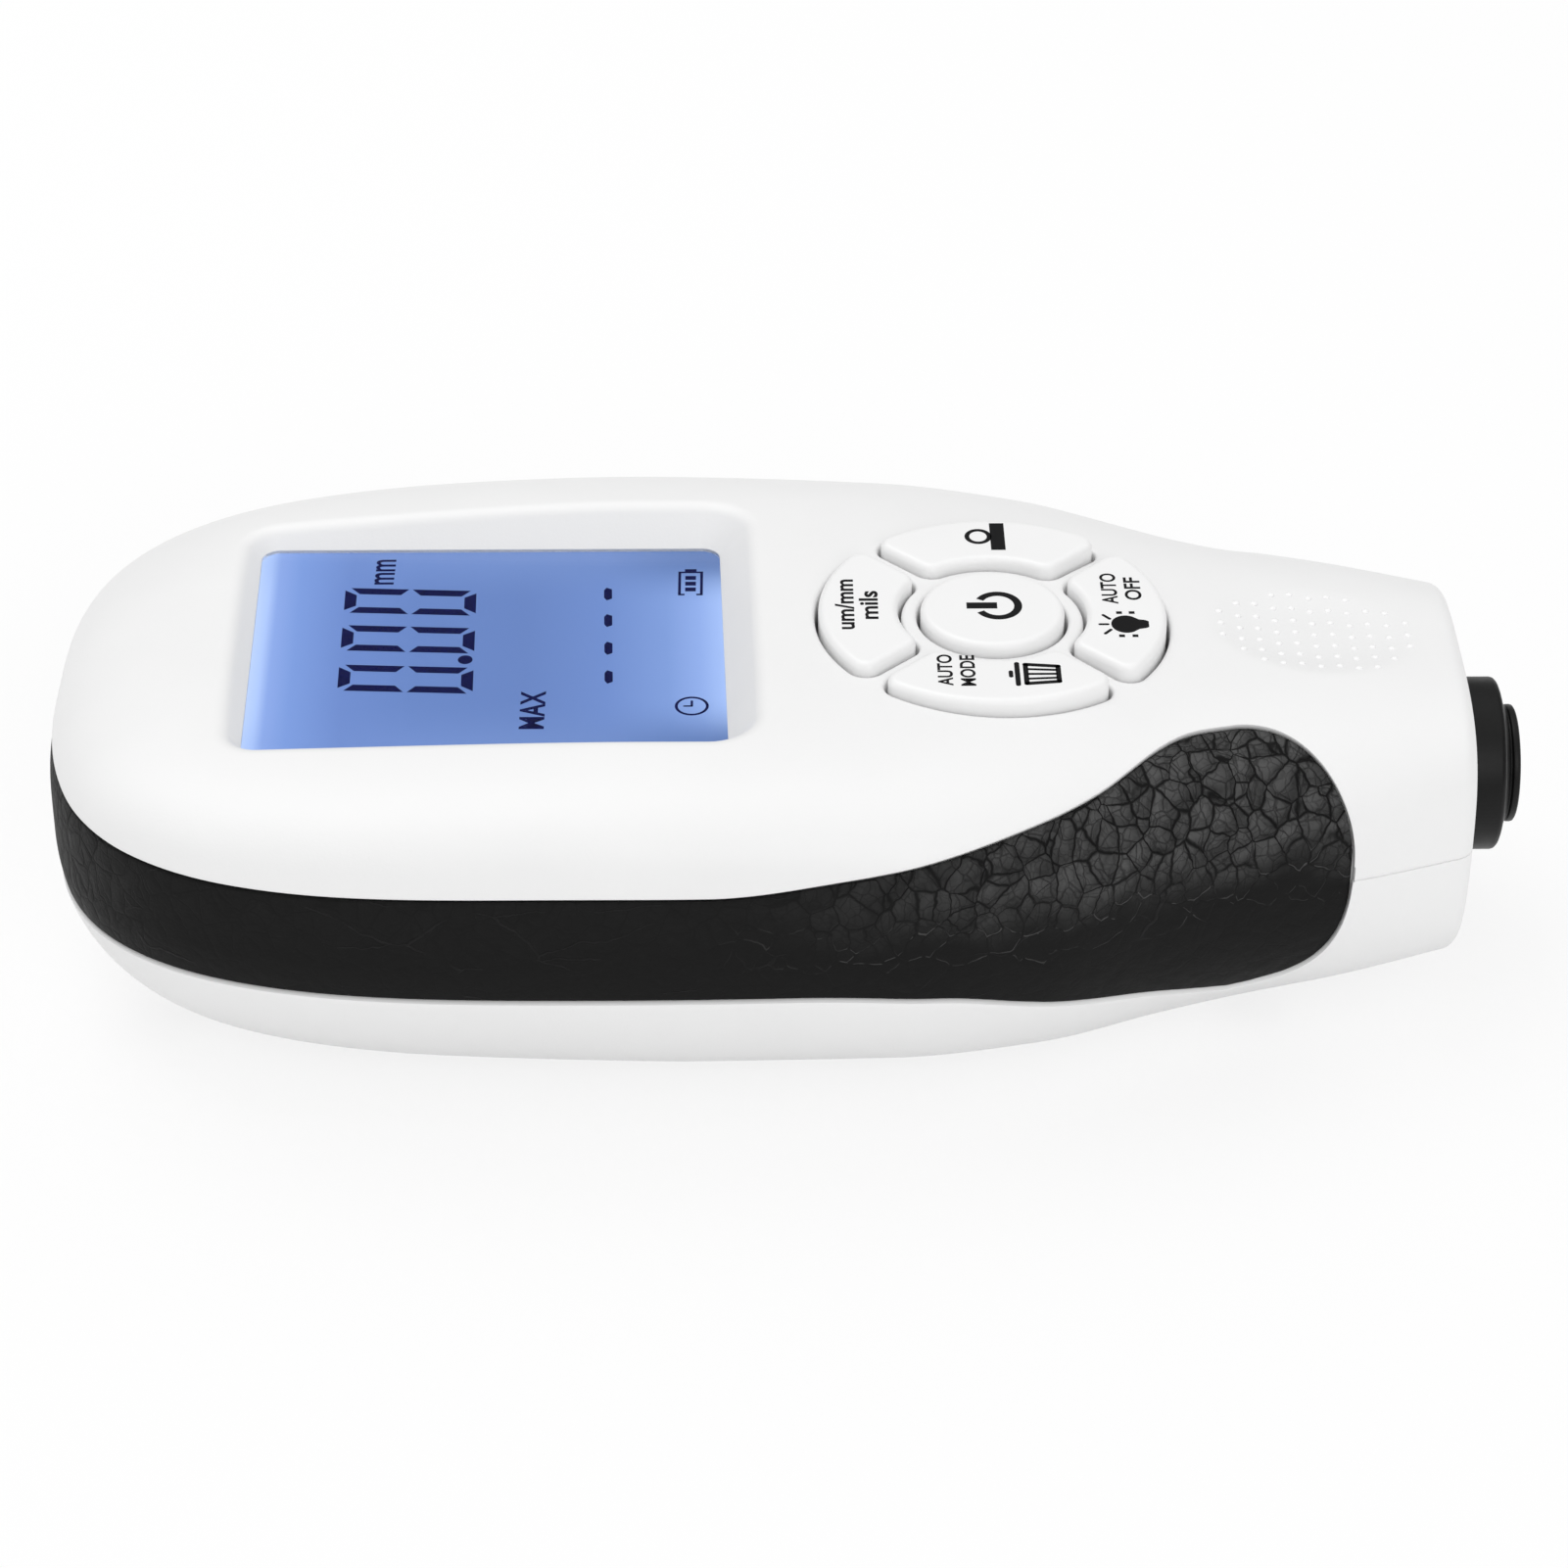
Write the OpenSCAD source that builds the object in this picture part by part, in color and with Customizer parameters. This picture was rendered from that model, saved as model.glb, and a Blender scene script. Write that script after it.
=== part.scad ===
// Hand-held coating thickness gauge, lying on its back with the display facing up.
// Sizes are in millimetres. X runs from the wide end to the probe and Z points up.

/* [Housing] */
// Length of the moulded housing without the probe
body_length = 118; // [105:0.5:135]
// Width across the display end
head_width = 60.7; // [56:0.1:68]
// Width where the sides turn in behind the keys
shoulder_width = 46.5; // [44:0.1:52]
// Width at the waist
waist_width = 41.5; // [40:0.1:46]
// Width of the flat nose
nose_width = 30.6; // [29:0.1:36]
// Height of the crown over the back
body_height = 30.6; // [30:0.1:34]
// Height at the rim of the wide end if its top ran on flat
head_height = 28.8; // [28:0.1:31]
// Height of the top edge of the nose
nose_height = 27.9; // [27.4:0.1:30]
// Rise of the back at the nose
nose_lift = 3.4; // [2:0.1:3.8]
// Height of the parting plane of the two halves
parting_height = 16.5; // [16:0.1:17]
// Squareness of the wide end in plan
head_squareness = 3; // [2.4:0.1:3.4]
// Squareness of the top in section at the display
top_squareness = 5; // [4:0.1:6]
// Squareness of the top in section at the nose
nose_squareness = 3.3; // [2.8:0.1:4]
// Squareness of the back in section under the wide end
head_back_squareness = 2; // [1.9:0.1:2.4]
// Squareness of the back in section behind the wide end
back_squareness = 2.4; // [2:0.1:2.8]
// Share of the half width that is flat on the back
back_flat = 0.45; // [0.43:0.01:0.55]
// Wall thickness of both halves
wall = 2; // [1.6:0.1:2.4]
// Rounding of the edge round the nose
nose_round = 1.2; // [0.6:0.1:2]

/* [Grip] */
// Depth of the recess that the grip lies in
grip_depth = 0.9; // [0.6:0.05:1.1]
// Thickness of the grip material
grip_thickness = 0.75; // [0.5:0.05:0.9]
// Angle of the band's upper edge over the parting plane
band_top = 25; // [18:0.5:30]
// Angle of the grip's upper edge at the wide end
end_top = 33; // [25:0.5:36]
// Angle of the band's lower edge under the parting plane
band_bottom = 13.5; // [8:0.5:16]
// Angle of the paddle's upper edge
paddle_top = 55.5; // [45:0.5:62]
// Angle of the paddle's lower edge
paddle_bottom = 42; // [30:0.5:48]
// Length of the paddle's round end
paddle_reach = 9.7; // [7:0.1:11]
// Squareness of the paddle's round end
paddle_squareness = 2.2; // [2:0.1:2.6]
// Gap between the grip and the edge of its recess
grip_gap = 0.2; // [0.1:0.05:0.4]

/* [Display] */
// Length of the visible display
view_length = 39.7; // [34:0.1:41]
// Width of the visible display
view_width = 31.4; // [28:0.1:32]
// Place of the display centre as a share of the housing's length
view_place = 0.3068; // [0.3:0.001:0.315]
// Depth of the recess floor under the crown
view_depth = 3.3; // [3:0.05:3.6]
// Widening of the recess for each millimetre of height
view_slope = 0.85; // [0.5:0.05:1]
// Corner radius of the display
view_corner = 1.6; // [0.8:0.1:3]
// Width of the hidden rim of the pane
pane_rim = 1.2; // [0.8:0.1:1.4]
// Thickness of the pane
pane_thickness = 1.15; // [0.8:0.05:1.3]
// Thickness of the liquid crystal cell
glass_thickness = 2; // [1.6:0.1:2.1]
// Thickness of the light guide
backlight_thickness = 2.8; // [2.2:0.1:2.9]
// Thickness of the frame round the pane
frame_wall = 1; // [0.8:0.1:1.4]

/* [Keys] */
// Place of the key centre as a share of the housing's length
keys_place = 0.667; // [0.66:0.001:0.678]
// Depth of the undersides of the keys under the crown
key_depth = 3.6; // [3.4:0.05:3.8]
// Outer radius of the ring of keys
ring_radius = 14.5; // [13:0.1:15]
// Inner radius of the ring of keys
ring_inner = 7.9; // [7.6:0.1:9]
// Radius of the round key in the middle
power_radius = 6; // [5:0.1:6.2]
// Gap between neighbouring keys of the ring
key_channel = 1.7; // [1.4:0.1:2.4]
// Clearance between a key and its well
key_gap = 0.3; // [0.2:0.05:0.35]
// Height of the keys over the crown
key_rise = 1; // [0.6:0.1:1.5]
// Travel of each key
key_travel = 0.5; // [0.3:0.05:0.6]
// Thickness of the rubber sheet under the keys
membrane_thickness = 1; // [0.8:0.1:1.2]
// Reach of the rubber sheet past the ring of keys
membrane_margin = 1.3; // [1:0.1:1.6]

/* [Board] */
// Thickness of the circuit board
board_thickness = 1.6; // [1:0.1:1.8]
// Half width of the circuit board
board_half = 18.5; // [18.3:0.1:19]
// Height of the switch bodies
switch_height = 1.5; // [1:0.1:1.6]
// Depth of the board screws in their posts
screw_bite = 4.5; // [3.5:0.1:5]
// Radius of the sounder
buzzer_radius = 6; // [4:0.5:6]

/* [Power] */
// Radius of one cell
cell_radius = 5.15; // [5:0.05:5.3]
// Length of one cell with its button
cell_length = 44.5; // [44:0.1:44.8]
// Half width of the battery cover
cover_half = 12; // [11.9:0.1:12.2]
// Thickness of the battery cover
cover_thickness = 1.6; // [1.5:0.1:1.7]
// Clearance round the battery cover
cover_gap = 0.2; // [0.15:0.05:0.3]

/* [Probe] */
// Height of the probe axis
probe_height = 15.6; // [15:0.1:16]
// Radius of the probe collar
collar_radius = 7.35; // [6.5:0.05:7.4]
// Length of the collar outside the nose
collar_out = 3.8; // [3.2:0.1:4]
// Radius of the lip at the end of the probe
lip_radius = 5; // [4.6:0.1:5.6]
// Reach of the probe outside the nose
probe_reach = 5.4; // [5:0.1:6.5]
// Radius of the steel pole
pole_radius = 2; // [1.5:0.1:2.1]
// Length of the tube that guides the probe
guide_length = 15.2; // [14:0.1:16]
// Travel of the probe
probe_travel = 2; // [1:0.1:2.2]
// Sliding clearance of the probe in its guide
probe_gap = 0.15; // [0.1:0.05:0.2]

/* [Hidden] */
$fn = 48;
edge = 0.05;
overall_length = body_length + probe_reach;
head_centre = head_width / 2;
widest_at = 0.3755 * body_length;
half_head = head_width / 2;
half_shoulder = shoulder_width / 2;
half_waist = waist_width / 2;
half_nose = nose_width / 2;
// Half width along the housing, from the widest place to the nose
width_line = [
    [widest_at, half_head],
    [0.593 * body_length, half_head - 0.07 * (half_head - half_shoulder)],
    [0.695 * body_length, half_head - 0.4 * (half_head - half_shoulder)],
    [0.78 * body_length, half_shoulder],
    [0.8475 * body_length, half_waist],
    [0.915 * body_length, half_waist - 0.36 * (half_waist - half_nose)],
    [body_length, half_nose]
];
// Height of the crown and of the back along the housing
crown_line = [
    [0, head_height],
    [0.17 * body_length, head_height + 0.33 * (body_height - head_height)],
    [0.424 * body_length, body_height],
    [0.678 * body_length, nose_height + 0.91 * (body_height - nose_height)],
    [0.8475 * body_length, nose_height + 0.51 * (body_height - nose_height)],
    [body_length, nose_height]
];
back_line = [
    [0.6 * body_length, 0],
    [0.72 * body_length, 0.035 * nose_lift],
    [0.8475 * body_length, 0.4 * nose_lift],
    [body_length, nose_lift]
];
square_line = [[0.38 * body_length, top_squareness], [0.8475 * body_length, nose_squareness]];
back_square_line = [[0.12 * body_length, head_back_squareness], [0.45 * body_length, back_squareness]];
// Fittings inside the wall end this far under the skin, which keeps them under the recess of the grip
trim_depth = grip_depth + 0.1;
// Edges of the grip, as angles from the parting plane
paddle_at = 0.83 * body_length;
paddle_end = paddle_at + paddle_reach;
paddle_mid = (paddle_top - paddle_bottom) / 2;
top_step = paddle_top - band_top;
end_step = end_top - band_top;
bottom_step = paddle_bottom - band_bottom;
grip_top_line = [
    [0, end_top],
    [0.03 * body_length, band_top + 0.65 * end_step],
    [0.07 * body_length, band_top + 0.4 * end_step],
    [0.14 * body_length, band_top + 0.22 * end_step],
    [0.3 * body_length, band_top + 0.1 * end_step],
    [0.466 * body_length, band_top],
    [0.56 * body_length, band_top + 0.146 * top_step],
    [0.66 * body_length, band_top + 0.387 * top_step],
    [0.729 * body_length, band_top + 0.603 * top_step],
    [0.8 * body_length, band_top + 0.965 * top_step],
    [paddle_at, paddle_top]
];
grip_bottom_line = [
    [0.525 * body_length, band_bottom],
    [0.623 * body_length, band_bottom + 0.075 * bottom_step],
    [0.69 * body_length, band_bottom + 0.325 * bottom_step],
    [0.76 * body_length, band_bottom + 0.628 * bottom_step],
    [paddle_at, paddle_bottom]
];
end_angles = [18, 34, 48, 60, 70, 78, 84];
head_angles = [-72, -66, -60, -54, -48, -42, -36, -30, -23, -16, -8, 0, 8, 16, 23, 30, 36, 42, 48, 54, 60, 66, 72];
band_shares = [0.305, 0.37, 0.43, 0.49, 0.54, 0.585, 0.63, 0.67, 0.71, 0.745, 0.78, 0.806, 0.83];
nose_shares = [0.2, 0.5, 0.75];
// Stack under the display, from the pane down to the board
view_at = view_place * body_length;
keys_at = keys_place * body_length;
view_height = body_height - view_depth;
pane_bottom = view_height - edge - pane_thickness;
glass_bottom = pane_bottom - edge - glass_thickness;
backlight_bottom = glass_bottom - edge - backlight_thickness;
board_top = backlight_bottom - edge;
board_bottom = board_top - board_thickness;
board_start = view_at - view_length / 2 - 0.15;
board_end = keys_at + ring_radius + 1.1;
frame_length = view_length + 2 * (pane_rim + frame_wall);
frame_width = view_width + 2 * (pane_rim + frame_wall);
frame_bottom = glass_bottom + 0.6;
key_bottom = body_height - key_depth;
membrane_top = key_bottom - key_travel - 0.15;
membrane_bottom = membrane_top - membrane_thickness;
post_at = (ring_radius + ring_inner) / 2;
post_bottom = board_top + switch_height + 1.1;
screw_near = keys_at - ring_radius + 2.5;
screw_far = keys_at + ring_radius - 1.2;
board_screw_places = [[screw_near, board_half - 2.2], [screw_near, 2.2 - board_half], [screw_far, board_half - 3.5],
    [screw_far, 3.5 - board_half]];
case_screw_places = [[9.5, 14], [9.5, -14], [0.852 * body_length, 13.2], [0.852 * body_length, -13.2]];
screw_seat = 11;
// Battery bay, measured on the inside
spring_room = 3;
bay_start = view_at - 19;
bay_end = bay_start + cell_length + spring_room + 0.9;
bay_half = 2 * cell_radius + 0.7;
bay_top = cover_thickness + 2 * cell_radius + 0.9;
cell_height = cover_thickness + 0.35 + cell_radius;
cell_side = cell_radius + 0.25;
cover_start = 10;
cover_end = bay_end + 0.6;
tongue_half = cover_half + 1;
tongue_bottom = 0.95;
// Probe stations along the axis
guide_end = body_length - wall - 0.1;
guide_start = guide_end - guide_length;
guide_bore = collar_radius + probe_gap;
guide_radius = guide_bore + 1.65;
sleeve_start = guide_end - 5.9;
coil_end = body_length + 1.2;
collar_end = body_length + collar_out;
lip_end = overall_length - 0.1;
flange_start = sleeve_start - 1.3;
spring_start = guide_start + 1.4;
spring_end = flange_start - 0.2;
clip_at = guide_start - 1.1;

// Smooth curve through stations that never overshoots them
function rise(p, i) = (p[i + 1][1] - p[i][1]) / (p[i + 1][0] - p[i][0]);
function slope(p, i) =
    i == 0 ? 0 :
    i == len(p) - 1 ? rise(p, i - 1) :
    rise(p, i - 1) * rise(p, i) <= 0 ? 0 :
    2 * rise(p, i - 1) * rise(p, i) / (rise(p, i - 1) + rise(p, i));
function blend(a, b, ma, mb, h, t) =
    a * (1 + 2 * t) * pow(1 - t, 2) + ma * h * t * pow(1 - t, 2)
    + b * t * t * (3 - 2 * t) + mb * h * t * t * (t - 1);
function curve(p, x, i = 0) =
    x <= p[0][0] ? p[0][1] :
    i >= len(p) - 1 ? p[len(p) - 1][1] :
    x > p[i + 1][0] ? curve(p, x, i + 1) :
    blend(p[i][1], p[i + 1][1], slope(p, i), slope(p, i + 1), p[i + 1][0] - p[i][0],
        (x - p[i][0]) / (p[i + 1][0] - p[i][0]));

// Plan outline with the edge of the nose rounded off
function nose_inset(x) =
    x <= body_length - nose_round ? 0 :
    nose_round - sqrt(max(0, pow(nose_round, 2) - pow(x - body_length + nose_round, 2)));
function unit_round(a, n) = pow(pow(abs(cos(a)), n) + pow(abs(sin(a)), n), -1 / n);
function head_x(a) = widest_at * (1 - cos(a) * unit_round(a, head_squareness));
function head_y(a) = half_head * sin(a) * unit_round(a, head_squareness);
function half_width(x) = curve(width_line, x) - nose_inset(x);
function crown(x) = curve(crown_line, x) - nose_inset(x);
function back(x) = curve(back_line, x) + nose_inset(x);

// Edges of the grip at a place along the housing, with the round end of the paddle
function end_share(x, n) = x <= paddle_at ? 1 : pow(max(0, 1 - pow((x - paddle_at) / paddle_reach, n)), 1 / n);
function grip_top(x) = paddle_mid + (curve(grip_top_line, x) - paddle_mid) * end_share(x, paddle_squareness);
function grip_bottom(x) = -paddle_mid + (curve(grip_bottom_line, x) + paddle_mid) * end_share(x, paddle_squareness + 0.4);

// The wide end starts at the lip over the grip, or at the grip if that stands out further
lip_share = cos(end_top) * unit_round(end_top, top_squareness);
start_x = min(head_centre * (1 - lip_share), grip_depth - grip_thickness);

// Columns run from the nose along one side, round the wide end and back along the other side.
// Each one holds its outline point and the place on the centre line that it rises to.
stations = concat(
    [for (s = band_shares) s * body_length],
    [for (a = end_angles) paddle_at + paddle_reach * sin(a)],
    [paddle_end],
    [for (s = nose_shares) paddle_end + s * (body_length - nose_round - paddle_end)],
    [for (a = [0, 35, 65, 90]) body_length - nose_round * (1 - sin(a))]
);
function columns(xs, squeeze = 1) = concat(
    [for (i = [len(xs) - 1:-1:0]) side_column(xs[i], -1, squeeze)],
    [for (a = head_angles) [head_x(a), head_y(a), head_centre, head_x(a)]],
    [for (x = xs) side_column(x, 1, squeeze)]
);
function side_column(x, side, squeeze) =
    let (sx = head_centre + (x - head_centre) * squeeze)
    [sx, side * half_width(x), sx, x];

// One point of the skin: angle from the parting plane, and depth under the skin
function skin_point(c, a, depth) =
    let (
        up = a >= 0,
        n = curve(up ? square_line : back_square_line, c[3]),
        r = unit_round(a, n),
        flat = up ? 0 : back_flat,
        share = flat + (1 - flat) * cos(a) * r,
        reach = norm([c[0] - c[2], c[1]]),
        k = share * (1 - depth / reach),
        x = c[2] + (c[0] - c[2]) * k,
        tall = up ? crown(c[0] == c[2] ? c[3] : x) - parting_height : parting_height - back(c[3])
    )
    [x, c[1] * k, parting_height + (tall - depth) * sin(a) * r];
function spine_point(x, x0, up, depth) =
    [x, 0, up ? crown(x0) - depth : back(x0) + depth];

// Rows of one half: the recess floor, the edge of the recess and the open skin above it
function open_rows(c, up) =
    let (g = max(up ? grip_top(c[3]) : grip_bottom(c[3]), 6), s = up ? 1 : -1)
    concat(
        [for (f = [0, 0.3, 0.6, 0.97]) s * f * g],
        [s * g],
        up ? [for (f = [0.12, 0.25, 0.38, 0.52, 0.68, 0.84]) g + f * (90 - g)]
           : [for (f = [0.15, 0.3, 0.45, 0.6, 0.75, 0.88, 1]) -g - f * (90 - g)]
    );
function recess_at(c, i) = i < 4 && c[3] < paddle_end - 0.001 ? grip_depth : 0;
function plain_rows(up) = up ? [0, 20, 36, 48, 60, 74] : [0, -18, -36, -54, -72, -90];

// Two triangles of a strip, turned over for the lower half or for an inner face
function turned(f, flip) = flip ? [for (i = [len(f) - 1:-1:0]) f[i]] : f;
function strip(base, nr, nc, flip) = [
    for (i = [0:nr - 2]) for (j = [0:nc - 2])
    for (f = [[base + i * nc + j, base + i * nc + j + 1, base + (i + 1) * nc + j + 1],
        [base + i * nc + j, base + (i + 1) * nc + j + 1, base + (i + 1) * nc + j]])
    turned(f, flip)
];
function spine_of(j, nb, nh) = j < nb ? nb - j : j < nb + nh ? 0 : j - nb - nh + 1;
function roof(base, nr, nc, nb, nh, flip) = [
    for (j = [0:nc - 2])
    let (a = nr * nc + spine_of(j, nb, nh), b = nr * nc + spine_of(j + 1, nb, nh), l = (nr - 1) * nc)
    for (f = a == b ? [[l + j, l + j + 1, a]] : [[l + j, l + j + 1, b], [l + j, b, a]])
    turned([for (v = f) base + v], flip)
];
function end_face(base, nr, nc, nb, flip) = turned(concat(
    [for (i = [0:nr - 1]) base + i * nc],
    [base + nr * nc + nb],
    [for (i = [nr - 1:-1:0]) base + i * nc + nc - 1]), flip);

// One moulded half with its wall and the recess for the grip
module shell_half(up) {
    nb = len(stations);
    nh = len(head_angles);
    nc = 2 * nb + nh;
    squeeze = (body_length - wall - head_centre) / (body_length - head_centre);
    outer = columns(stations);
    inner = columns(stations, squeeze);
    rows = [for (c = outer) open_rows(c, up)];
    nr = len(rows[0]);
    inner_rows = plain_rows(up);
    mr = len(inner_rows);
    spines = concat([head_centre], stations);
    outer_points = concat(
        [for (i = [0:nr - 1]) for (j = [0:nc - 1]) skin_point(outer[j], rows[j][i], recess_at(outer[j], i))],
        [for (x = spines) spine_point(x, x, up, 0)]);
    inner_points = concat(
        [for (i = [0:mr - 1]) for (j = [0:nc - 1]) skin_point(inner[j], inner_rows[i] + (i == 0 && !up ? -1e-9 : 0), wall)],
        [for (x = spines) spine_point(head_centre + (x - head_centre) * squeeze, x, up, wall)]);
    base = len(outer_points);
    rim = [for (j = [0:nc - 2]) turned([base + j, base + j + 1, j + 1, j], !up)];
    front_rim = turned([nc - 1, base + nc - 1, base, 0], !up);
    polyhedron(concat(outer_points, inner_points), concat(
        strip(0, nr, nc, !up), roof(0, nr, nc, nb, nh, !up), [end_face(0, nr, nc, nb, !up)],
        strip(base, mr, nc, up), roof(base, mr, nc, nb, nh, up), [end_face(base, mr, nc, nb, up)],
        rim, [front_rim]));
}

// Solid under the skin of one half, used to trim what is moulded onto its wall
module half_solid(up, depth) {
    nb = len(stations);
    nh = len(head_angles);
    nc = 2 * nb + nh;
    squeeze = (body_length - depth - head_centre) / (body_length - head_centre);
    cols = columns(stations, squeeze);
    rows = plain_rows(up);
    nr = len(rows);
    spines = concat([head_centre], stations);
    points = concat(
        [for (i = [0:nr - 1]) for (j = [0:nc - 1]) skin_point(cols[j], rows[i] + (i == 0 && !up ? -1e-9 : 0), depth)],
        [for (x = spines) spine_point(head_centre + (x - head_centre) * squeeze, x, up, depth)]);
    polyhedron(points, concat(
        strip(0, nr, nc, !up), roof(0, nr, nc, nb, nh, !up), [end_face(0, nr, nc, nb, !up)],
        [turned([for (j = [nc - 1:-1:0]) j], !up)]));
}

// Every part is drawn from the wide end and then centred on the whole length
module placed() {
    translate([-(start_x + overall_length) / 2, 0, 0]) children();
}

module rounded_plate(length, width, corner, thickness) {
    linear_extrude(thickness) {
        square([length - 2 * corner, width], center = true);
        square([length, width - 2 * corner], center = true);
        for (x = [-1, 1]) for (y = [-1, 1])
            translate([x * (length / 2 - corner), y * (width / 2 - corner)]) circle(corner);
    }
}

module along_axis(x) {
    translate([x, 0, probe_height]) rotate([0, 90, 0]) children();
}

module key_outline(side, grow) {
    wedge = key_channel / sqrt(2) - grow * sqrt(2);
    rotate(side * 90) intersection() {
        difference() {
            circle(ring_radius + grow, $fn = 72);
            circle(ring_inner - grow);
        }
        polygon([[wedge, 0], [wedge + 2 * ring_radius, 2 * ring_radius], [wedge + 2 * ring_radius, -2 * ring_radius]]);
    }
}

module key_wells() {
    translate([keys_at, 0, key_bottom - 8]) linear_extrude(20) {
        circle(power_radius + key_gap);
        for (side = [0:3]) key_outline(side, key_gap);
    }
}

module ring_key(side, x) {
    top = crown(x) + key_rise;
    translate([keys_at, 0, key_bottom]) linear_extrude(top - key_bottom) key_outline(side, 0);
}

// Recess with sloping sides down to the pane, and the pocket that the pane goes into from inside
module display_cut() {
    climb = 5;
    widen = 2 * climb * view_slope;
    translate([view_at, 0, view_height]) hull() {
        rounded_plate(view_length, view_width, view_corner, 0.01);
        translate([0, 0, climb]) rounded_plate(view_length + widen, view_width + widen, view_corner + 2, 0.01);
    }
    translate([view_at, 0, frame_bottom - 1])
        rounded_plate(view_length + 2 * pane_rim + 0.2, view_width + 2 * pane_rim + 0.2, 1, view_height - frame_bottom + 1);
}

module front_fittings() {
    translate([view_at - frame_length / 2, -frame_width / 2, frame_bottom]) cube([frame_length, frame_width, 12]);
    for (p = board_screw_places) translate([p[0], p[1], board_top + edge]) cylinder(r = 2.2, h = 14);
    for (p = case_screw_places) translate([p[0], p[1], parting_height + edge]) cylinder(r = 3, h = 16);
    translate([guide_start + 3.5, -guide_radius - 1.5, parting_height + edge]) cube([2.5, 2 * guide_radius + 3, 16]);
}

module front_shell() {
    color("white") placed() difference() {
        union() {
            shell_half(true);
            intersection() {
                front_fittings();
                half_solid(true, trim_depth);
            }
        }
        display_cut();
        key_wells();
        for (p = board_screw_places) translate([p[0], p[1], board_top - 1]) cylinder(r = 1.05, h = screw_bite + 1);
        for (p = case_screw_places) translate([p[0], p[1], parting_height - 1]) cylinder(r = 1.3, h = 8.5);
        along_axis(guide_start) cylinder(r = guide_radius + 0.1, h = guide_end - guide_start);
        along_axis(guide_start) cylinder(r = guide_bore + 0.1, h = 2 * guide_length);
    }
}

module rear_fittings() {
    translate([bay_start - 1.3, -bay_half - 1.3, 1.4]) cube([bay_end - bay_start + 2.6, 2 * bay_half + 2.6, bay_top]);
    for (p = case_screw_places) translate([p[0], p[1], 0]) cylinder(r = 3.4, h = parting_height - edge);
    translate([guide_start + 3.5, -guide_radius - 1.5, 1]) cube([2.5, 2 * guide_radius + 3, parting_height - edge - 1]);
}

// The slot is the same all along X and open at the wide end, so the cover slides out
module cover_slot() {
    g = cover_gap;
    translate([-1, -cover_half - g, -1]) cube([cover_end + g + 1, 2 * (cover_half + g), cover_thickness + g + 1]);
    translate([-1, -tongue_half - g, tongue_bottom - g])
        cube([cover_end + g + 1, 2 * (tongue_half + g), cover_thickness - tongue_bottom + 2 * g]);
}

module rear_shell() {
    color("white") placed() difference() {
        union() {
            shell_half(false);
            intersection() {
                rear_fittings();
                half_solid(false, trim_depth);
            }
        }
        cover_slot();
        translate([bay_start, -bay_half, 1]) cube([bay_end - bay_start, 2 * bay_half, bay_top - 1]);
        for (p = case_screw_places) translate([p[0], p[1], -1]) cylinder(r = 2.6, h = screw_seat + 1);
        for (p = case_screw_places) translate([p[0], p[1], -1]) cylinder(r = 1.4, h = parting_height + 2);
        along_axis(guide_start) cylinder(r = guide_radius + 0.1, h = guide_end - guide_start);
        along_axis(guide_start) cylinder(r = guide_bore + 0.1, h = 2 * guide_length);
    }
}

// One strip from paddle to paddle round the wide end
module leather_grip() {
    ends = [for (i = [0:len(end_angles) - 2]) paddle_at + paddle_reach * sin(end_angles[i])];
    cols = columns(concat([for (s = band_shares) s * body_length], ends));
    nc = len(cols);
    gap_angle = 180 * grip_gap / (PI * parting_height);
    function edge_angles(t, b) =
        [gap_angle - 0.97 * b, -0.6 * b, -0.3 * b, 0, 0.3 * t, 0.6 * t, 0.97 * t - gap_angle];
    rows = [for (c = cols) edge_angles(max(grip_top(c[3]), 6), max(grip_bottom(c[3]), 6))];
    nr = len(rows[0]);
    outer = [for (i = [0:nr - 1]) for (j = [0:nc - 1]) skin_point(cols[j], rows[j][i], grip_depth - grip_thickness)];
    inner = [for (i = [0:nr - 1]) for (j = [0:nc - 1]) skin_point(cols[j], rows[j][i], grip_depth - edge)];
    base = len(outer);
    color("black") placed() polyhedron(concat(outer, inner), concat(
        strip(0, nr, nc, false), strip(base, nr, nc, true),
        [for (j = [0:nc - 2]) [base + j, base + j + 1, j + 1, j]],
        [for (j = [0:nc - 2]) let (t = (nr - 1) * nc) [t + j, t + j + 1, base + t + j + 1, base + t + j]],
        [for (i = [0:nr - 2]) [i * nc, (i + 1) * nc, base + (i + 1) * nc, base + i * nc]],
        [for (i = [0:nr - 2]) let (l = nc - 1)
            [base + i * nc + l, base + (i + 1) * nc + l, (i + 1) * nc + l, i * nc + l]]));
}

module case_screws() {
    color("silver") placed() for (p = case_screw_places) translate([p[0], p[1], 0]) difference() {
        union() {
            translate([0, 0, screw_seat - 1.8]) cylinder(r = 2.3, h = 1.8 - edge);
            translate([0, 0, screw_seat - 1]) cylinder(r = 1.25, h = 13);
        }
        translate([-1.5, -0.3, screw_seat - 2]) cube([3, 0.6, 0.9]);
        translate([-0.3, -1.5, screw_seat - 2]) cube([0.6, 3, 0.9]);
    }
}

module battery_cover() {
    color("white") placed() intersection() {
        half_solid(false, 0);
        union() {
            translate([cover_start, -cover_half, -1]) cube([cover_end - cover_start, 2 * cover_half, cover_thickness + 1]);
            translate([cover_start + 6, -tongue_half, tongue_bottom])
                cube([cover_end - cover_start - 6, 2 * tongue_half, cover_thickness - tongue_bottom]);
        }
    }
}

module display_window() {
    color("lightblue") placed() translate([view_at, 0, pane_bottom])
        rounded_plate(view_length + 2 * pane_rim, view_width + 2 * pane_rim, 1, pane_thickness);
}

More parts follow.
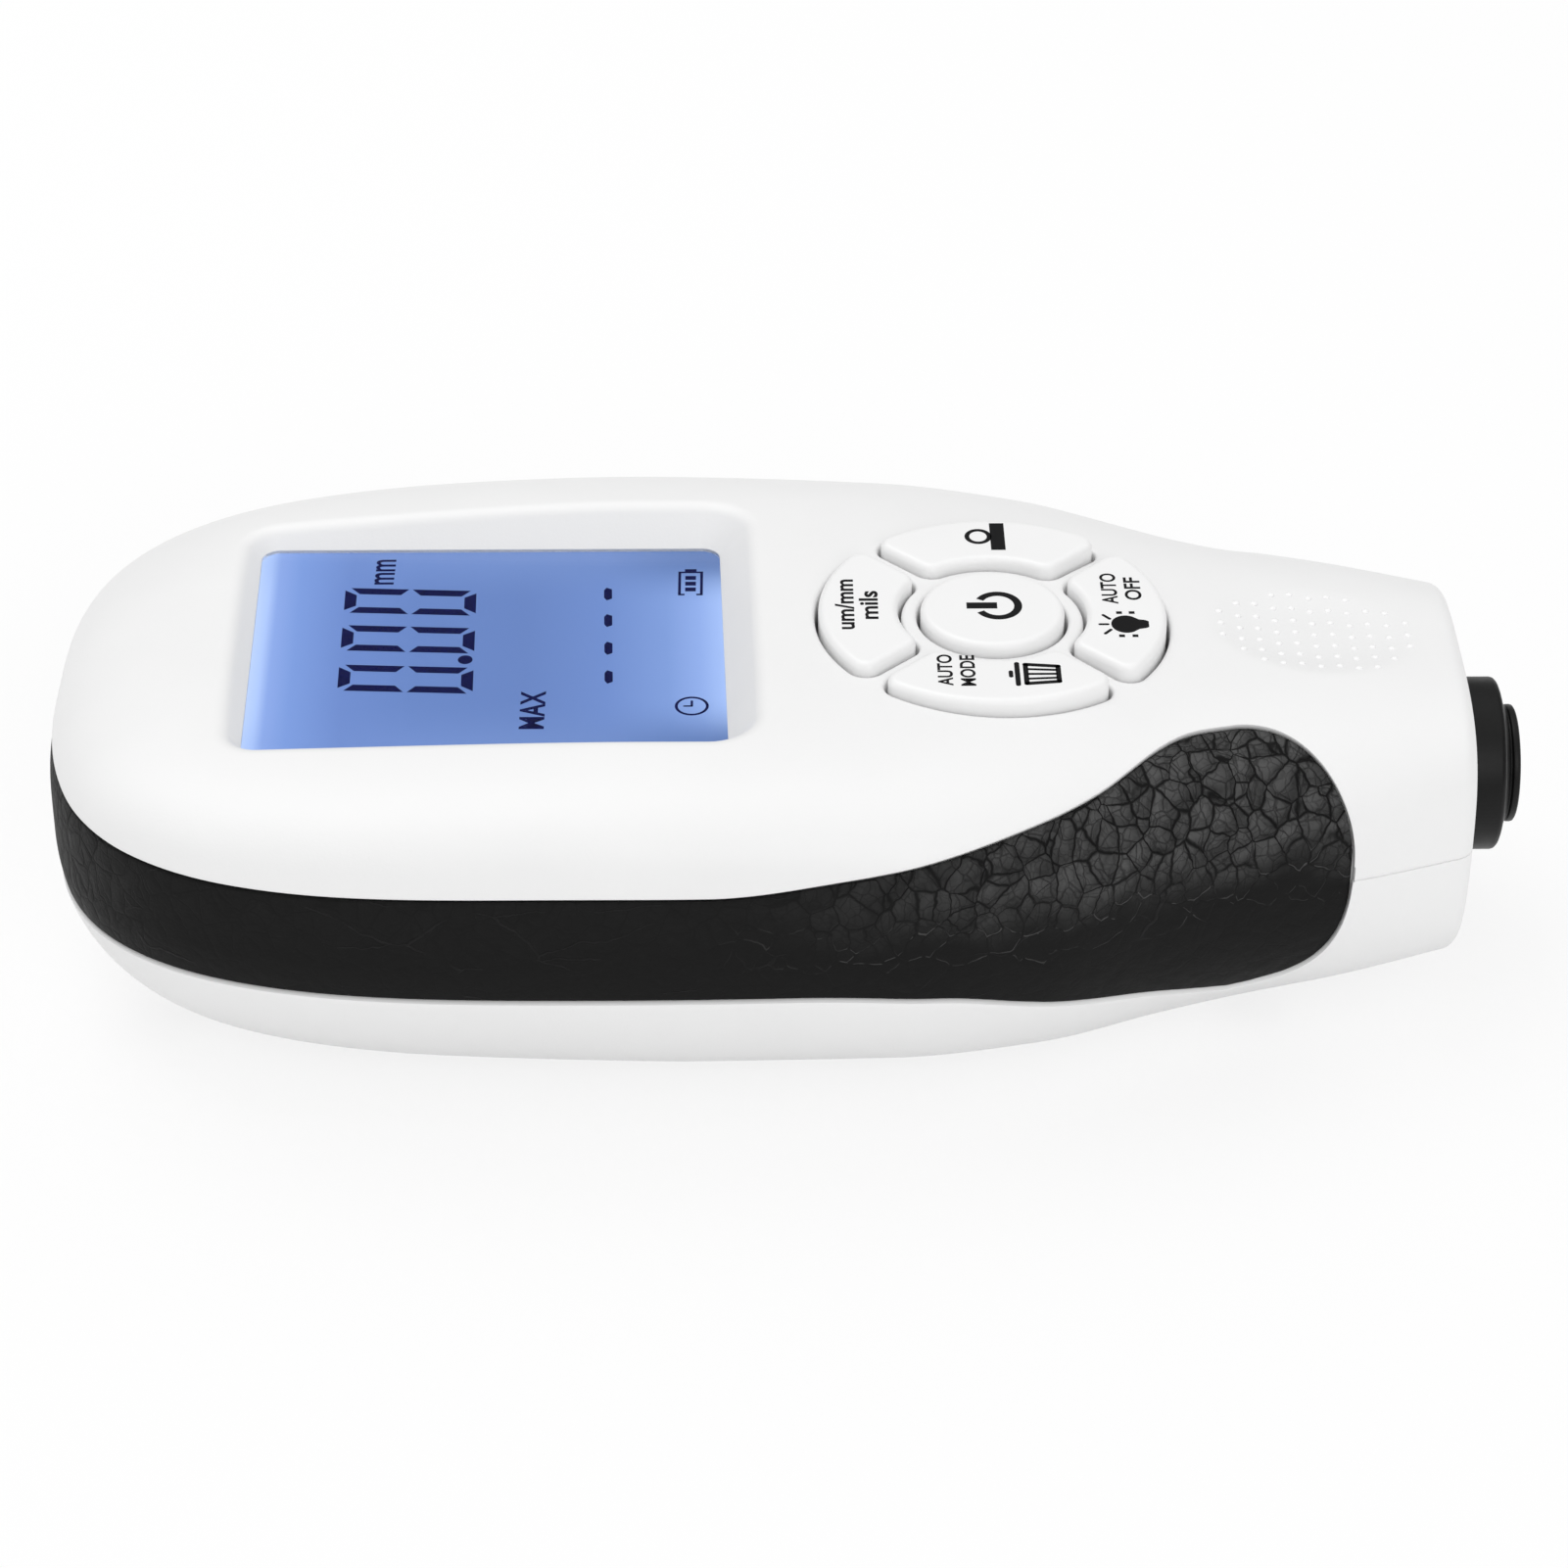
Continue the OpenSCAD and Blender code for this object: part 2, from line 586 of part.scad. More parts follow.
module display_glass() {
    color("steelblue") placed() translate([view_at, 0, glass_bottom])
        rounded_plate(view_length + 2 * pane_rim, view_width + 2 * pane_rim, 1, glass_thickness);
}

module display_backlight() {
    color("white") placed() translate([view_at, 0, backlight_bottom])
        rounded_plate(view_length + 2 * pane_rim, view_width - 3.6, 0.5, backlight_thickness);
}

module display_strips() {
    side = view_width / 2 - 1.5;
    color("dimgray") placed() for (s = [-1, 1])
        translate([view_at - view_length / 2 + 1, s * (side + 0.9) - 0.8, board_top + edge])
            cube([view_length - 2, 1.6, backlight_thickness]);
}

module power_key() {
    top = crown(keys_at) + key_rise;
    color("white") placed() translate([keys_at, 0, 0]) rotate_extrude()
        polygon([[0, key_bottom], [power_radius, key_bottom], [power_radius, top - 0.3], [power_radius - 0.3, top], [0, top]]);
}

module unit_key() {
    color("white") placed() ring_key(2, keys_at - ring_inner);
}

module zero_key() {
    color("white") placed() ring_key(1, keys_at);
}

module light_key() {
    color("white") placed() ring_key(0, keys_at + ring_inner);
}

module delete_key() {
    color("white") placed() ring_key(3, keys_at);
}

module key_membrane() {
    outer = ring_radius + membrane_margin;
    color("gray") placed() translate([keys_at, 0, 0]) {
        translate([0, 0, membrane_bottom]) cylinder(r = outer, h = membrane_thickness);
        difference() {
            translate([0, 0, board_top + edge]) cylinder(r = outer, h = membrane_top - board_top - edge);
            translate([0, 0, board_top - 1]) cylinder(r = outer - 1.2, h = membrane_bottom - board_top + 1);
        }
        translate([0, 0, post_bottom]) cylinder(r = 2, h = membrane_top - post_bottom);
        for (a = [0:90:270]) rotate(a) translate([post_at, 0, post_bottom]) cylinder(r = 2, h = membrane_top - post_bottom);
    }
}

module dome_switch() {
    translate([-2.6, -2.6, 0]) cube([5.2, 5.2, switch_height]);
    cylinder(r = 1.5, h = switch_height + 0.5);
}

module key_switches() {
    color("dimgray") placed() translate([keys_at, 0, board_top + edge]) {
        dome_switch();
        for (a = [0:90:270]) rotate(a) translate([post_at, 0, 0]) dome_switch();
    }
}

module main_board() {
    length = board_end - board_start;
    color("green") placed() difference() {
        translate([board_start + length / 2, 0, board_bottom]) rounded_plate(length, 2 * board_half, 2, board_thickness);
        for (p = board_screw_places) translate([p[0], p[1], board_bottom - 1]) cylinder(r = 1.2, h = board_thickness + 2);
    }
}

module processor_chip() {
    color("dimgray") placed() translate([keys_at, 2, board_bottom - 1.4 - edge]) cube([10, 10, 1.4]);
}

module buzzer() {
    color("black") placed() translate([keys_at - 1, -8.5, board_bottom - 4.5 - edge]) difference() {
        cylinder(r = buzzer_radius, h = 4.5);
        translate([0, 0, -1]) cylinder(r = 1, h = 2);
    }
}

module board_screws() {
    color("silver") placed() for (p = board_screw_places) translate([p[0], p[1], 0]) {
        translate([0, 0, board_bottom - 1.3 - edge]) cylinder(r = 1.9, h = 1.3);
        translate([0, 0, board_bottom - 1]) cylinder(r = 1, h = board_thickness + screw_bite + 0.2);
    }
}

module cell(flip) {
    body = cell_length - 1;
    translate([bay_start + cell_length / 2 + (flip ? 0.75 : spring_room), flip ? -cell_side : cell_side, cell_height])
        rotate([0, flip ? -90 : 90, 0]) translate([0, 0, -cell_length / 2]) {
            cylinder(r = cell_radius, h = body);
            cylinder(r = 1.8, h = cell_length);
        }
}

module battery_a() {
    color("gold") placed() cell(false);
}

module battery_b() {
    color("gold") placed() cell(true);
}

// Round wire wound along Z, from radius r0 to r1
module coil(r0, r1, wire, height, turns, steps, sides) {
    n = round(turns * steps);
    points = [for (i = [0:n]) let (t = i / n, a = 360 * turns * t, r = r0 + (r1 - r0) * t)
        for (k = [0:sides - 1]) let (b = 360 * k / sides)
        [(r + wire * cos(b)) * cos(a), (r + wire * cos(b)) * sin(a), wire + (height - 2 * wire) * t + wire * sin(b)]];
    faces = [for (i = [0:n - 1]) for (k = [0:sides - 1]) let (m = (k + 1) % sides)
        for (f = [[i * sides + k, (i + 1) * sides + k, (i + 1) * sides + m], [i * sides + k, (i + 1) * sides + m, i * sides + m]])
        f];
    polyhedron(points, concat(faces,
        [[for (k = [0:sides - 1]) k]], [[for (k = [sides - 1:-1:0]) n * sides + k]]));
}

module battery_springs() {
    tall = spring_room - 0.4;
    color("silver") placed() {
        translate([bay_start + 0.15, cell_side, cell_height]) rotate([0, 90, 0]) coil(3.4, 2, 0.3, tall, 2.5, 12, 6);
        translate([bay_end - 0.15, -cell_side, cell_height]) rotate([0, -90, 0]) coil(3.4, 2, 0.3, tall, 2.5, 12, 6);
    }
}

module battery_plates() {
    half = 0.78 * cell_radius;
    color("silver") placed() {
        translate([bay_end - 0.65, cell_side - half, cell_height - half]) cube([0.5, 2 * half, 2 * half]);
        translate([bay_start + 0.15, -cell_side - half, cell_height - half]) cube([0.5, 2 * half, 2 * half]);
    }
}

// Stepped collar with a hollow neck and a lip at the end
module probe_sleeve() {
    color("black") placed() along_axis(0) rotate_extrude() polygon([
        [4.6, sleeve_start], [collar_radius, sleeve_start], [collar_radius, collar_end - 0.4],
        [collar_radius - 0.4, collar_end], [lip_radius + 0.9, collar_end + 0.3], [lip_radius - 0.2, collar_end + 0.65],
        [lip_radius - 0.2, lip_end - 0.75], [lip_radius, lip_end - 0.6], [lip_radius, lip_end - 0.2],
        [lip_radius - 0.2, lip_end], [pole_radius + edge, lip_end], [pole_radius + edge, coil_end], [4.6, coil_end]]);
}

module probe_pole() {
    groove = pole_radius - 0.4;
    color("silver") placed() along_axis(0) rotate_extrude() polygon(concat(
        [[0, clip_at - 1.6], [pole_radius, clip_at - 1.6], [pole_radius, clip_at - 0.05], [groove, clip_at - 0.05],
            [groove, clip_at + 0.85], [pole_radius, clip_at + 0.85]],
        [for (a = [0:15:75]) [pole_radius * cos(a), overall_length - 0.8 + 0.8 * sin(a)]],
        [[0, overall_length]]));
}

module probe_coil() {
    inner = pole_radius + 0.1;
    color("peru") placed() along_axis(0) rotate_extrude() polygon([
        [inner, flange_start], [collar_radius - 0.4, flange_start], [collar_radius - 0.4, sleeve_start - edge],
        [4.4, sleeve_start - edge], [4.4, coil_end - 0.2], [inner, coil_end - 0.2]]);
}

module probe_spring() {
    color("silver") placed() along_axis(spring_start) coil(5, 5, 0.4, spring_end - spring_start, 4, 20, 8);
}

module probe_guide() {
    color("dimgray") placed() along_axis(0) rotate_extrude() polygon([
        [pole_radius + 0.2, guide_start], [guide_radius, guide_start], [guide_radius, guide_end],
        [guide_bore, guide_end], [guide_bore, guide_start + 1.2], [pole_radius + 0.2, guide_start + 1.2]]);
}

module probe_clip() {
    color("silver") placed() along_axis(clip_at) difference() {
        cylinder(r = pole_radius + 1.5, h = 0.8);
        translate([0, 0, -1]) cylinder(r = pole_radius - 0.35, h = 3);
    }
}

front_shell();
rear_shell();
leather_grip();
case_screws();
battery_cover();
display_window();
display_glass();
display_backlight();
display_strips();
power_key();
unit_key();
zero_key();
light_key();
delete_key();
key_membrane();
key_switches();
main_board();
processor_chip();
buzzer();
board_screws();
battery_a();
battery_b();
battery_springs();
battery_plates();
probe_sleeve();
probe_pole();
probe_coil();
probe_spring();
probe_guide();
probe_clip();
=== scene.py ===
import math

import bpy
import numpy as np
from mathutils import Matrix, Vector, noise


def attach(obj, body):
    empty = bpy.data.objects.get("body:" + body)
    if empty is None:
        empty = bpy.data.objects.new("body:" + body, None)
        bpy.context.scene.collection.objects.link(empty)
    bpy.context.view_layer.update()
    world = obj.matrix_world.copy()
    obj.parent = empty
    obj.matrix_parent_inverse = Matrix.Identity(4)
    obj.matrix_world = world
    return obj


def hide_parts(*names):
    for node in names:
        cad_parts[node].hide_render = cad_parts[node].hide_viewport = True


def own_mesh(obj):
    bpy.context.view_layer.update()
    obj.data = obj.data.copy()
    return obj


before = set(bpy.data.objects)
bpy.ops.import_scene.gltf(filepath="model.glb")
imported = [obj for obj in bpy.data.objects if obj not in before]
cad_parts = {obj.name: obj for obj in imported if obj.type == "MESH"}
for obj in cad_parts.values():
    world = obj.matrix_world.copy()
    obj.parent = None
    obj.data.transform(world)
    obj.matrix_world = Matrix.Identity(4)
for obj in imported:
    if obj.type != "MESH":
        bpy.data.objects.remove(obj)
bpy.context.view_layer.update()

# Housing. Two moulded halves of white satin ABS, 1.8 mm thick, that meet at a level parting plane.
# The form is drawn in millimetres from the wide end, by the widths and heights along the case,
# and each half is a fine sheet laid on that form, given its wall and then cut for its openings.
LENGTH, ROW_X = 118.0, -61.8
HALF_HEAD, HALF_SHOULDER, HALF_WAIST, HALF_NOSE = 30.35, 23.25, 20.75, 15.3
CROWN, HEAD_HEIGHT, NOSE_HEIGHT, NOSE_LIFT = 30.6, 28.8, 27.9, 3.4
PARTING, NOSE_ROUND, BACK_FLAT, WALL, RECESS = 16.5, 1.2, 0.45, 1.8, 0.9
WIDEST, HEAD_SQUARE = 0.3755 * LENGTH, 3.0
PADDLE_AT, PADDLE_REACH, PADDLE_MID, PADDLE_SQUARE = 0.83 * LENGTH, 9.7, 6.75, 2.2
BAND_TOP, PADDLE_TOP, BAND_BOTTOM, PADDLE_BOTTOM = 25.0, 55.5, 13.5, 42.0
FAR_DROP, FAR_START, FAR_RUN = 4.5, 62, 30
PADDLE_END = PADDLE_AT + PADDLE_REACH
PROBE_Z, NOSE_BORE, BORE_TURN = 15.6, 7.6, 6.8


def stations(*pairs):
    """Places along the case, given as shares of its length, each with a value."""
    return [(share * LENGTH, value) for share, value in pairs]


width_line = stations(
    (0.3755, HALF_HEAD), (0.593, HALF_HEAD - 0.07 * (HALF_HEAD - HALF_SHOULDER)),
    (0.695, HALF_HEAD - 0.4 * (HALF_HEAD - HALF_SHOULDER)), (0.78, HALF_SHOULDER), (0.8475, HALF_WAIST),
    (0.915, HALF_WAIST - 0.36 * (HALF_WAIST - HALF_NOSE)), (1, HALF_NOSE))
crown_line = stations(
    (0, HEAD_HEIGHT), (0.17, HEAD_HEIGHT + 0.33 * (CROWN - HEAD_HEIGHT)), (0.424, CROWN),
    (0.678, NOSE_HEIGHT + 0.91 * (CROWN - NOSE_HEIGHT)), (0.8475, NOSE_HEIGHT + 0.51 * (CROWN - NOSE_HEIGHT)),
    (1, NOSE_HEIGHT))
back_line = stations((0.6, 0), (0.72, 0.035 * NOSE_LIFT), (0.8475, 0.4 * NOSE_LIFT), (1, NOSE_LIFT))
top_square_line = stations((0.38, 5.0), (0.8475, 3.3))
back_square_line = stations((0.12, 2.0), (0.45, 2.4))
grip_top_line = stations(
    (0, 33.0), (0.03, 30.2), (0.07, 28.2), (0.14, 26.76), (0.3, 25.8), (0.466, BAND_TOP),
    *((at, BAND_TOP + rise * (PADDLE_TOP - BAND_TOP))
      for at, rise in ((0.56, 0.146), (0.66, 0.387), (0.729, 0.603), (0.8, 0.965), (0.83, 1))))
grip_bottom_line = stations(
    (0.525, BAND_BOTTOM), *((at, BAND_BOTTOM + rise * (PADDLE_BOTTOM - BAND_BOTTOM))
                            for at, rise in ((0.623, 0.075), (0.69, 0.325), (0.76, 0.628), (0.83, 1))))


def curve(line, x):
    """A smooth line through stations that never overshoots them."""
    px, py = np.array(line, float).T
    step = np.diff(px)
    rise = np.diff(py) / step
    both = rise[:-1] * rise[1:]
    total = np.where(both > 0, rise[:-1] + rise[1:], 1.0)
    slope = np.concatenate([[0.0], np.where(both > 0, 2 * both / total, 0.0), rise[-1:]])
    x = np.clip(x, px[0], px[-1])
    i = np.clip(np.searchsorted(px, x, side="right") - 1, 0, len(step) - 1)
    t = (x - px[i]) / step[i]
    return (py[i] * (1 + 2 * t) * (1 - t) ** 2 + slope[i] * step[i] * t * (1 - t) ** 2
            + py[i + 1] * t * t * (3 - 2 * t) + slope[i + 1] * step[i] * t * t * (t - 1))


def nose_inset(x):
    past = np.clip(x - LENGTH + NOSE_ROUND, 0, NOSE_ROUND)
    return NOSE_ROUND - np.sqrt(NOSE_ROUND ** 2 - past ** 2)


def half_width(x):
    head = HALF_HEAD * (1 - np.clip((WIDEST - x) / WIDEST, 0, 1) ** HEAD_SQUARE) ** (1 / HEAD_SQUARE)
    return np.where(x < WIDEST, head, curve(width_line, x)) - nose_inset(x)


def crown(x):
    return curve(crown_line, x) - nose_inset(x)


def back(x):
    return curve(back_line, x) + nose_inset(x)


def unit_round(a, n):
    """Radius of a squared circle at an angle."""
    return (np.abs(np.cos(a)) ** n + np.abs(np.sin(a)) ** n) ** (-1 / n)


# The thumb rest is a shallow dish in the top, behind the nose.
DISH_X, DISH_Y, DISH_LONG, DISH_WIDE, DISH_DEEP = 105.7, 0.3, 9.0, 7.0, 0.55


def dish(x, y):
    far = np.clip(((x - DISH_X) / DISH_LONG) ** 2 + ((y - DISH_Y) / DISH_WIDE) ** 2, 0, 1)
    return DISH_DEEP * (1 - far) ** 2 * (1 + 2 * far)


def share_of(x, y):
    """How far out a place in plan lies, from 0 on the centre line to 1 on the outline, and the outline's own x."""
    x, y = np.broadcast_arrays(np.asarray(x, float), np.asarray(y, float))
    along, across = np.maximum(HALF_HEAD - x, 1e-9), np.abs(y)
    far = np.hypot(along, across)
    low, high = np.zeros_like(far), np.full_like(far, 60.0)
    for _ in range(45):
        mid = (low + high) / 2
        ex = (WIDEST - HALF_HEAD + mid * along / far) / WIDEST
        inside = ex ** HEAD_SQUARE + (mid * across / far / HALF_HEAD) ** HEAD_SQUARE < 1
        low, high = np.where(inside, mid, low), np.where(inside, high, mid)
    side = x >= HALF_HEAD
    share = np.where(side, across / half_width(np.maximum(x, HALF_HEAD)), far / low)
    return np.clip(share, 0, 1), np.where(side, x, HALF_HEAD - low * along / far)


def top_height(x, y):
    share, ax = share_of(x, y)
    n = curve(top_square_line, ax)
    return PARTING + (crown(x) - PARTING) * (1 - share ** n) ** (1 / n) - dish(x, y)


class Outline:
    """Columns of the form, from the nose along the far side, round the wide end and back along the near side."""

    def __init__(self, along, around):
        head = np.radians(around)
        r = unit_round(head, HEAD_SQUARE)
        hx, hy = WIDEST * (1 - np.cos(head) * r), HALF_HEAD * np.sin(head) * r
        back_along = along[::-1]
        self.x = np.concatenate([back_along, hx, along])
        self.y = np.concatenate([half_width(back_along), hy, -half_width(along)])
        self.side = np.concatenate([np.ones(len(along), bool), np.zeros(len(head), bool), np.ones(len(along), bool)])
        self.middle = np.where(self.side, self.x, HALF_HEAD)

    def skin(self, angle, depth, inward=1.0):
        """Points at a depth under the form; angle 0 is the parting plane, 90 the top and -90 the back."""
        a = np.radians(angle)
        up = a >= 0
        n = np.where(up, curve(top_square_line, self.x), curve(back_square_line, self.x))
        r = unit_round(a, n)
        flat = np.where(up, 0.0, BACK_FLAT)
        share = (flat + (1 - flat) * np.cos(a) * r) * inward
        k = share * (1 - depth / np.hypot(self.x - self.middle, self.y))
        x = self.middle + (self.x - self.middle) * k
        y = self.y * k
        tall = np.where(up, crown(np.where(self.side, self.x, x)) - PARTING, PARTING - back(self.x))
        z = PARTING + (tall - depth) * np.sin(a) * r
        z = z - np.where(angle > 50, dish(x, y), 0)
        return np.stack([x, y, z], -1)


def end_share(x, n=PADDLE_SQUARE):
    """How much of the paddle's height is left towards its rounded end."""
    return (1 - np.clip((x - PADDLE_AT) / PADDLE_REACH, 0, 1) ** n) ** (1 / n)


def grip_top(lines, past=0.0):
    """Angle of the grip's upper edge, which sits a little lower on the far side."""
    x = lines.x + past
    drop = FAR_DROP * np.clip((x - FAR_START) / FAR_RUN, 0, 1) ** 2
    edge = curve(grip_top_line, x) - np.where(lines.y > 0, drop, 0)
    return np.maximum(PADDLE_MID + (edge - PADDLE_MID) * end_share(x), 0.3)


def grip_bottom(lines, past=0.0):
    x = lines.x + past
    return np.maximum(-PADDLE_MID + (curve(grip_bottom_line, x) + PADDLE_MID) * end_share(x, PADDLE_SQUARE + 0.4), 0.3)


def to_row(points):
    return (np.asarray(points, float) + (ROW_X, 0, 0)) * 0.001


def alone(obj):
    if bpy.context.object and bpy.context.object.mode == "EDIT":
        bpy.ops.object.mode_set(mode="OBJECT")
    bpy.ops.object.select_all(action="DESELECT")
    obj.select_set(True)
    bpy.context.view_layer.objects.active = obj


def fresh(add, **settings):
    """A new primitive, with nothing else selected."""
    bpy.ops.object.select_all(action="DESELECT")
    add(**settings)
    return bpy.context.object


def laid_sheet(name, points):
    """A grid primitive whose vertices are laid on points, given as rows of columns in millimetres."""
    rows, columns = points.shape[:2]
    obj = fresh(bpy.ops.mesh.primitive_grid_add, x_subdivisions=columns - 1, y_subdivisions=rows - 1, size=1)
    obj.name = obj.data.name = name
    flat = np.empty(rows * columns * 3)
    obj.data.vertices.foreach_get("co", flat)
    flat = flat.reshape(-1, 3)
    column = np.rint((flat[:, 0] + 0.5) * (columns - 1)).astype(int)
    row = np.rint((flat[:, 1] + 0.5) * (rows - 1)).astype(int)
    obj.data.vertices.foreach_set("co", to_row(points[row, column]).ravel())
    obj.data.update()
    return obj


def pick_all():
    bpy.ops.mesh.select_all(action="SELECT")


def edit(obj, *steps):
    alone(obj)
    bpy.ops.object.mode_set(mode="EDIT")
    pick_all()
    for step in steps:
        step()
    bpy.ops.object.mode_set(mode="OBJECT")


def merge():
    bpy.ops.mesh.remove_doubles(threshold=1e-6)


def face_out():
    bpy.ops.mesh.normals_make_consistent(inside=False)


def modify(obj, kind, **settings):
    alone(obj)
    made = obj.modifiers.new(kind.title(), kind)
    for key, value in settings.items():
        setattr(made, key, value)
    bpy.ops.object.modifier_apply(modifier=made.name)


def join(*objs):
    alone(objs[0])
    for obj in objs[1:]:
        obj.select_set(True)
    bpy.ops.object.join()
    return objs[0]


def smooth(obj, degrees=32):
    alone(obj)
    bpy.ops.object.shade_smooth_by_angle(angle=math.radians(degrees))


def shell_skin(angle, depth, inward, turn, step):
    """The skin of one half at a depth, with the flat nose down to the bore that the probe comes out of."""
    points = case_lines.skin(angle, depth + step, inward)
    points[..., 0] = np.minimum(points[..., 0], LENGTH - step)
    rim = points[:, -1]
    bore = np.stack([np.full(len(turn), LENGTH), -NOSE_BORE * np.cos(turn), PROBE_Z + NOSE_BORE * np.sin(turn)], -1)
    face = [rim + (bore - (step, 0, 0) - rim) * f for f in (0.3, 0.65, 0.94)]
    face += [bore - (step + 0.2, 0, 0), bore - (WALL + 0.6, 0, 0)]
    face = np.stack(face, 1)
    return np.concatenate([face[:, ::-1] * (1, -1, 1), points, face], 1)


def half_shell(name, angle, depth, inward, turn):
    """One half as an outer skin, an inner skin and the flat joint between them."""
    outer, inner = (shell_skin(angle, depth, inward, turn, step) for step in (0.0, WALL))
    joint = np.stack([outer[0], inner[0]])
    shell = join(laid_sheet(name, outer), laid_sheet("inside", inner), laid_sheet("joint", joint))
    edit(shell, merge, face_out)
    return shell


side_x = np.concatenate([np.arange(31.0, PADDLE_AT - 0.4, 0.85),
                         PADDLE_AT + PADDLE_REACH * np.sin(np.radians(np.linspace(0, 90, 34))),
                         np.linspace(PADDLE_END + 0.1, LENGTH - NOSE_ROUND - 0.7, 13),
                         LENGTH - NOSE_ROUND * (1 - np.sin(np.radians(np.linspace(0, 90, 8))))])
case_lines = Outline(side_x, np.linspace(72, -72, 145))
grooved = (case_lines.x < PADDLE_END + 0.05).astype(float)


def edge_rows(g):
    """Angles and depths from the parting plane up over the edge of the grip's recess."""
    f = np.clip(g / 10, 0.03, 1)
    floor = g - 0.5 * f
    angle = np.stack([0 * g, np.minimum(0.35, 0.15 * g), np.minimum(0.8, 0.3 * g), 0.4 * floor, 0.75 * floor, floor,
                      g - 0.36 * f, g - 0.24 * f, g - 0.1 * f, g + 0.25])
    in_recess = np.array([1, 1, 1, 1, 1, 1, 0.4, 0.15, 0.04, 0])[:, None] * RECESS
    in_line = np.array([0.12, 0.05, 0, 0, 0, 0, 0, 0, 0, 0])[:, None]
    return angle, in_recess * grooved + in_line * (1 - grooved)


angle, depth = edge_rows(grip_top(case_lines))
rest = np.linspace(0, 1, 66)[1:, None]
front_angle = np.concatenate([angle, angle[-1] + (90 - angle[-1]) * rest])
front_depth = np.concatenate([depth, 0 * rest * grooved])
front_turn = np.radians(BORE_TURN + (90 - BORE_TURN) * front_angle[:, -1] / 90)
front_case = half_shell("front_case", front_angle, front_depth, 1.0, front_turn)

angle, depth = edge_rows(grip_bottom(case_lines))
rest = np.linspace(0, 1, 44)[1:, None]
rear_angle = np.concatenate([angle, angle[-1] + (90 - angle[-1]) * rest, np.full((3, angle.shape[1]), 90.0)])
rear_depth = np.concatenate([depth, 0 * rest * grooved, np.zeros((3, angle.shape[1]))])
inward = np.concatenate([np.ones(len(rear_angle) - 3), [0.66, 0.33, 0]])[:, None]
rear_angle = -np.maximum(rear_angle, 1e-9)
rear_turn = np.radians(np.linspace(BORE_TURN, -90, len(rear_angle)))
rear_case = half_shell("rear_case", rear_angle, rear_depth, inward, rear_turn)


# Openings in the front half, moulded with rounded rims: the display's, and a well for each key.
# Each one is drawn as points on an inner line with their outward directions, so that the same
# opening can be drawn wider or narrower by a distance.
def rectangle_line(x, long, wide, corner, y=0.0):
    pts, out = [], []
    for turn, sx, sy in ((0, 1, 1), (90, -1, 1), (180, -1, -1), (270, 1, -1)):
        for a in np.radians(np.linspace(turn, turn + 90, 13)):
            pts.append((x + sx * (long / 2 - corner), y + sy * (wide / 2 - corner)))
            out.append((math.cos(a), math.sin(a)))
    return fill_line(pts, out, 0.8)


def circle_line(x, radius, corner, steps=96):
    a = np.linspace(0, 2 * np.pi, steps, endpoint=False)
    out = np.stack([np.cos(a), np.sin(a)], -1)
    return out * (radius - corner) + (x, 0), out


def sector_line(x, turn, inner, outer, channel, corner):
    """A quarter of a ring with straight sides, turned about its middle."""
    wedge = channel / math.sqrt(2) + corner * math.sqrt(2)

    def meet(radius):
        px = (wedge + math.sqrt(2 * radius ** 2 - wedge ** 2)) / 2
        return px, px - wedge

    far, near = outer - corner, inner + corner
    fx, fy = meet(far)
    nx, ny = meet(near)
    open_far, open_near = math.atan2(fy, fx), math.atan2(ny, nx)
    pts, out = [], []

    def arc(px, py, radius, angles, way=1):
        for a in angles:
            pts.append((px + radius * math.cos(a), py + radius * math.sin(a)))
            out.append((way * math.cos(a), way * math.sin(a)))

    arc(0, 0, far, np.linspace(-open_far, open_far, 30))
    arc(fx, fy, 0, np.linspace(open_far, math.radians(135), 10))
    arc(nx, ny, 0, np.linspace(math.radians(135), math.pi + open_near, 10))
    arc(0, 0, near, np.linspace(open_near, -open_near, 18)[1:-1], -1)
    arc(nx, -ny, 0, np.linspace(math.pi - open_near, math.radians(225), 10))
    arc(fx, -fy, 0, np.linspace(math.radians(225), 2 * math.pi - open_far, 10))
    c, s = math.cos(turn), math.sin(turn)
    spin = np.array([[c, s], [-s, c]])
    return fill_line(np.array(pts) @ spin + (x, 0), np.array(out) @ spin, 0.6)


def fill_line(pts, out, step):
    """Adds points on the straight runs of a closed line."""
    pts, out = np.array(pts, float), np.array(out, float)
    new_pts, new_out = [], []
    for i in range(len(pts)):
        j = (i + 1) % len(pts)
        n = max(1, int(np.hypot(*(pts[j] - pts[i])) / step))
        for k in range(n):
            new_pts.append(pts[i] + (pts[j] - pts[i]) * k / n)
            new_out.append(out[i] + (out[j] - out[i]) * k / n)
    new_out = np.array(new_out)
    return np.array(new_pts), new_out / np.linalg.norm(new_out, axis=1)[:, None]


def widened(line, distance):
    """The places in plan at a distance outside a line."""
    return line[0] + line[1] * np.reshape(distance, (-1, 1))


def ring_rows(line, distances, heights):
    """Rows of points round an opening."""
    return [np.column_stack([widened(line, d), np.broadcast_to(h, len(line[0]))]) for d, h in zip(distances, heights)]


def looped(name, rows):
    """A sheet that runs round a closed line."""
    rows = np.stack(rows)
    return laid_sheet(name, np.concatenate([rows, rows[:, :1]], 1))


def raised(points, height):
    """A plate with a closed flat outline, raised to a height."""
    obj = fresh(bpy.ops.mesh.primitive_circle_add, vertices=len(points), radius=1, fill_type="NGON")
    obj.data.vertices.foreach_set("co", np.ravel(points))
    edit(obj, lambda: bpy.ops.mesh.extrude_region_move(TRANSFORM_OT_translate={"value": (0, 0, height)}),
         pick_all, face_out)
    return obj


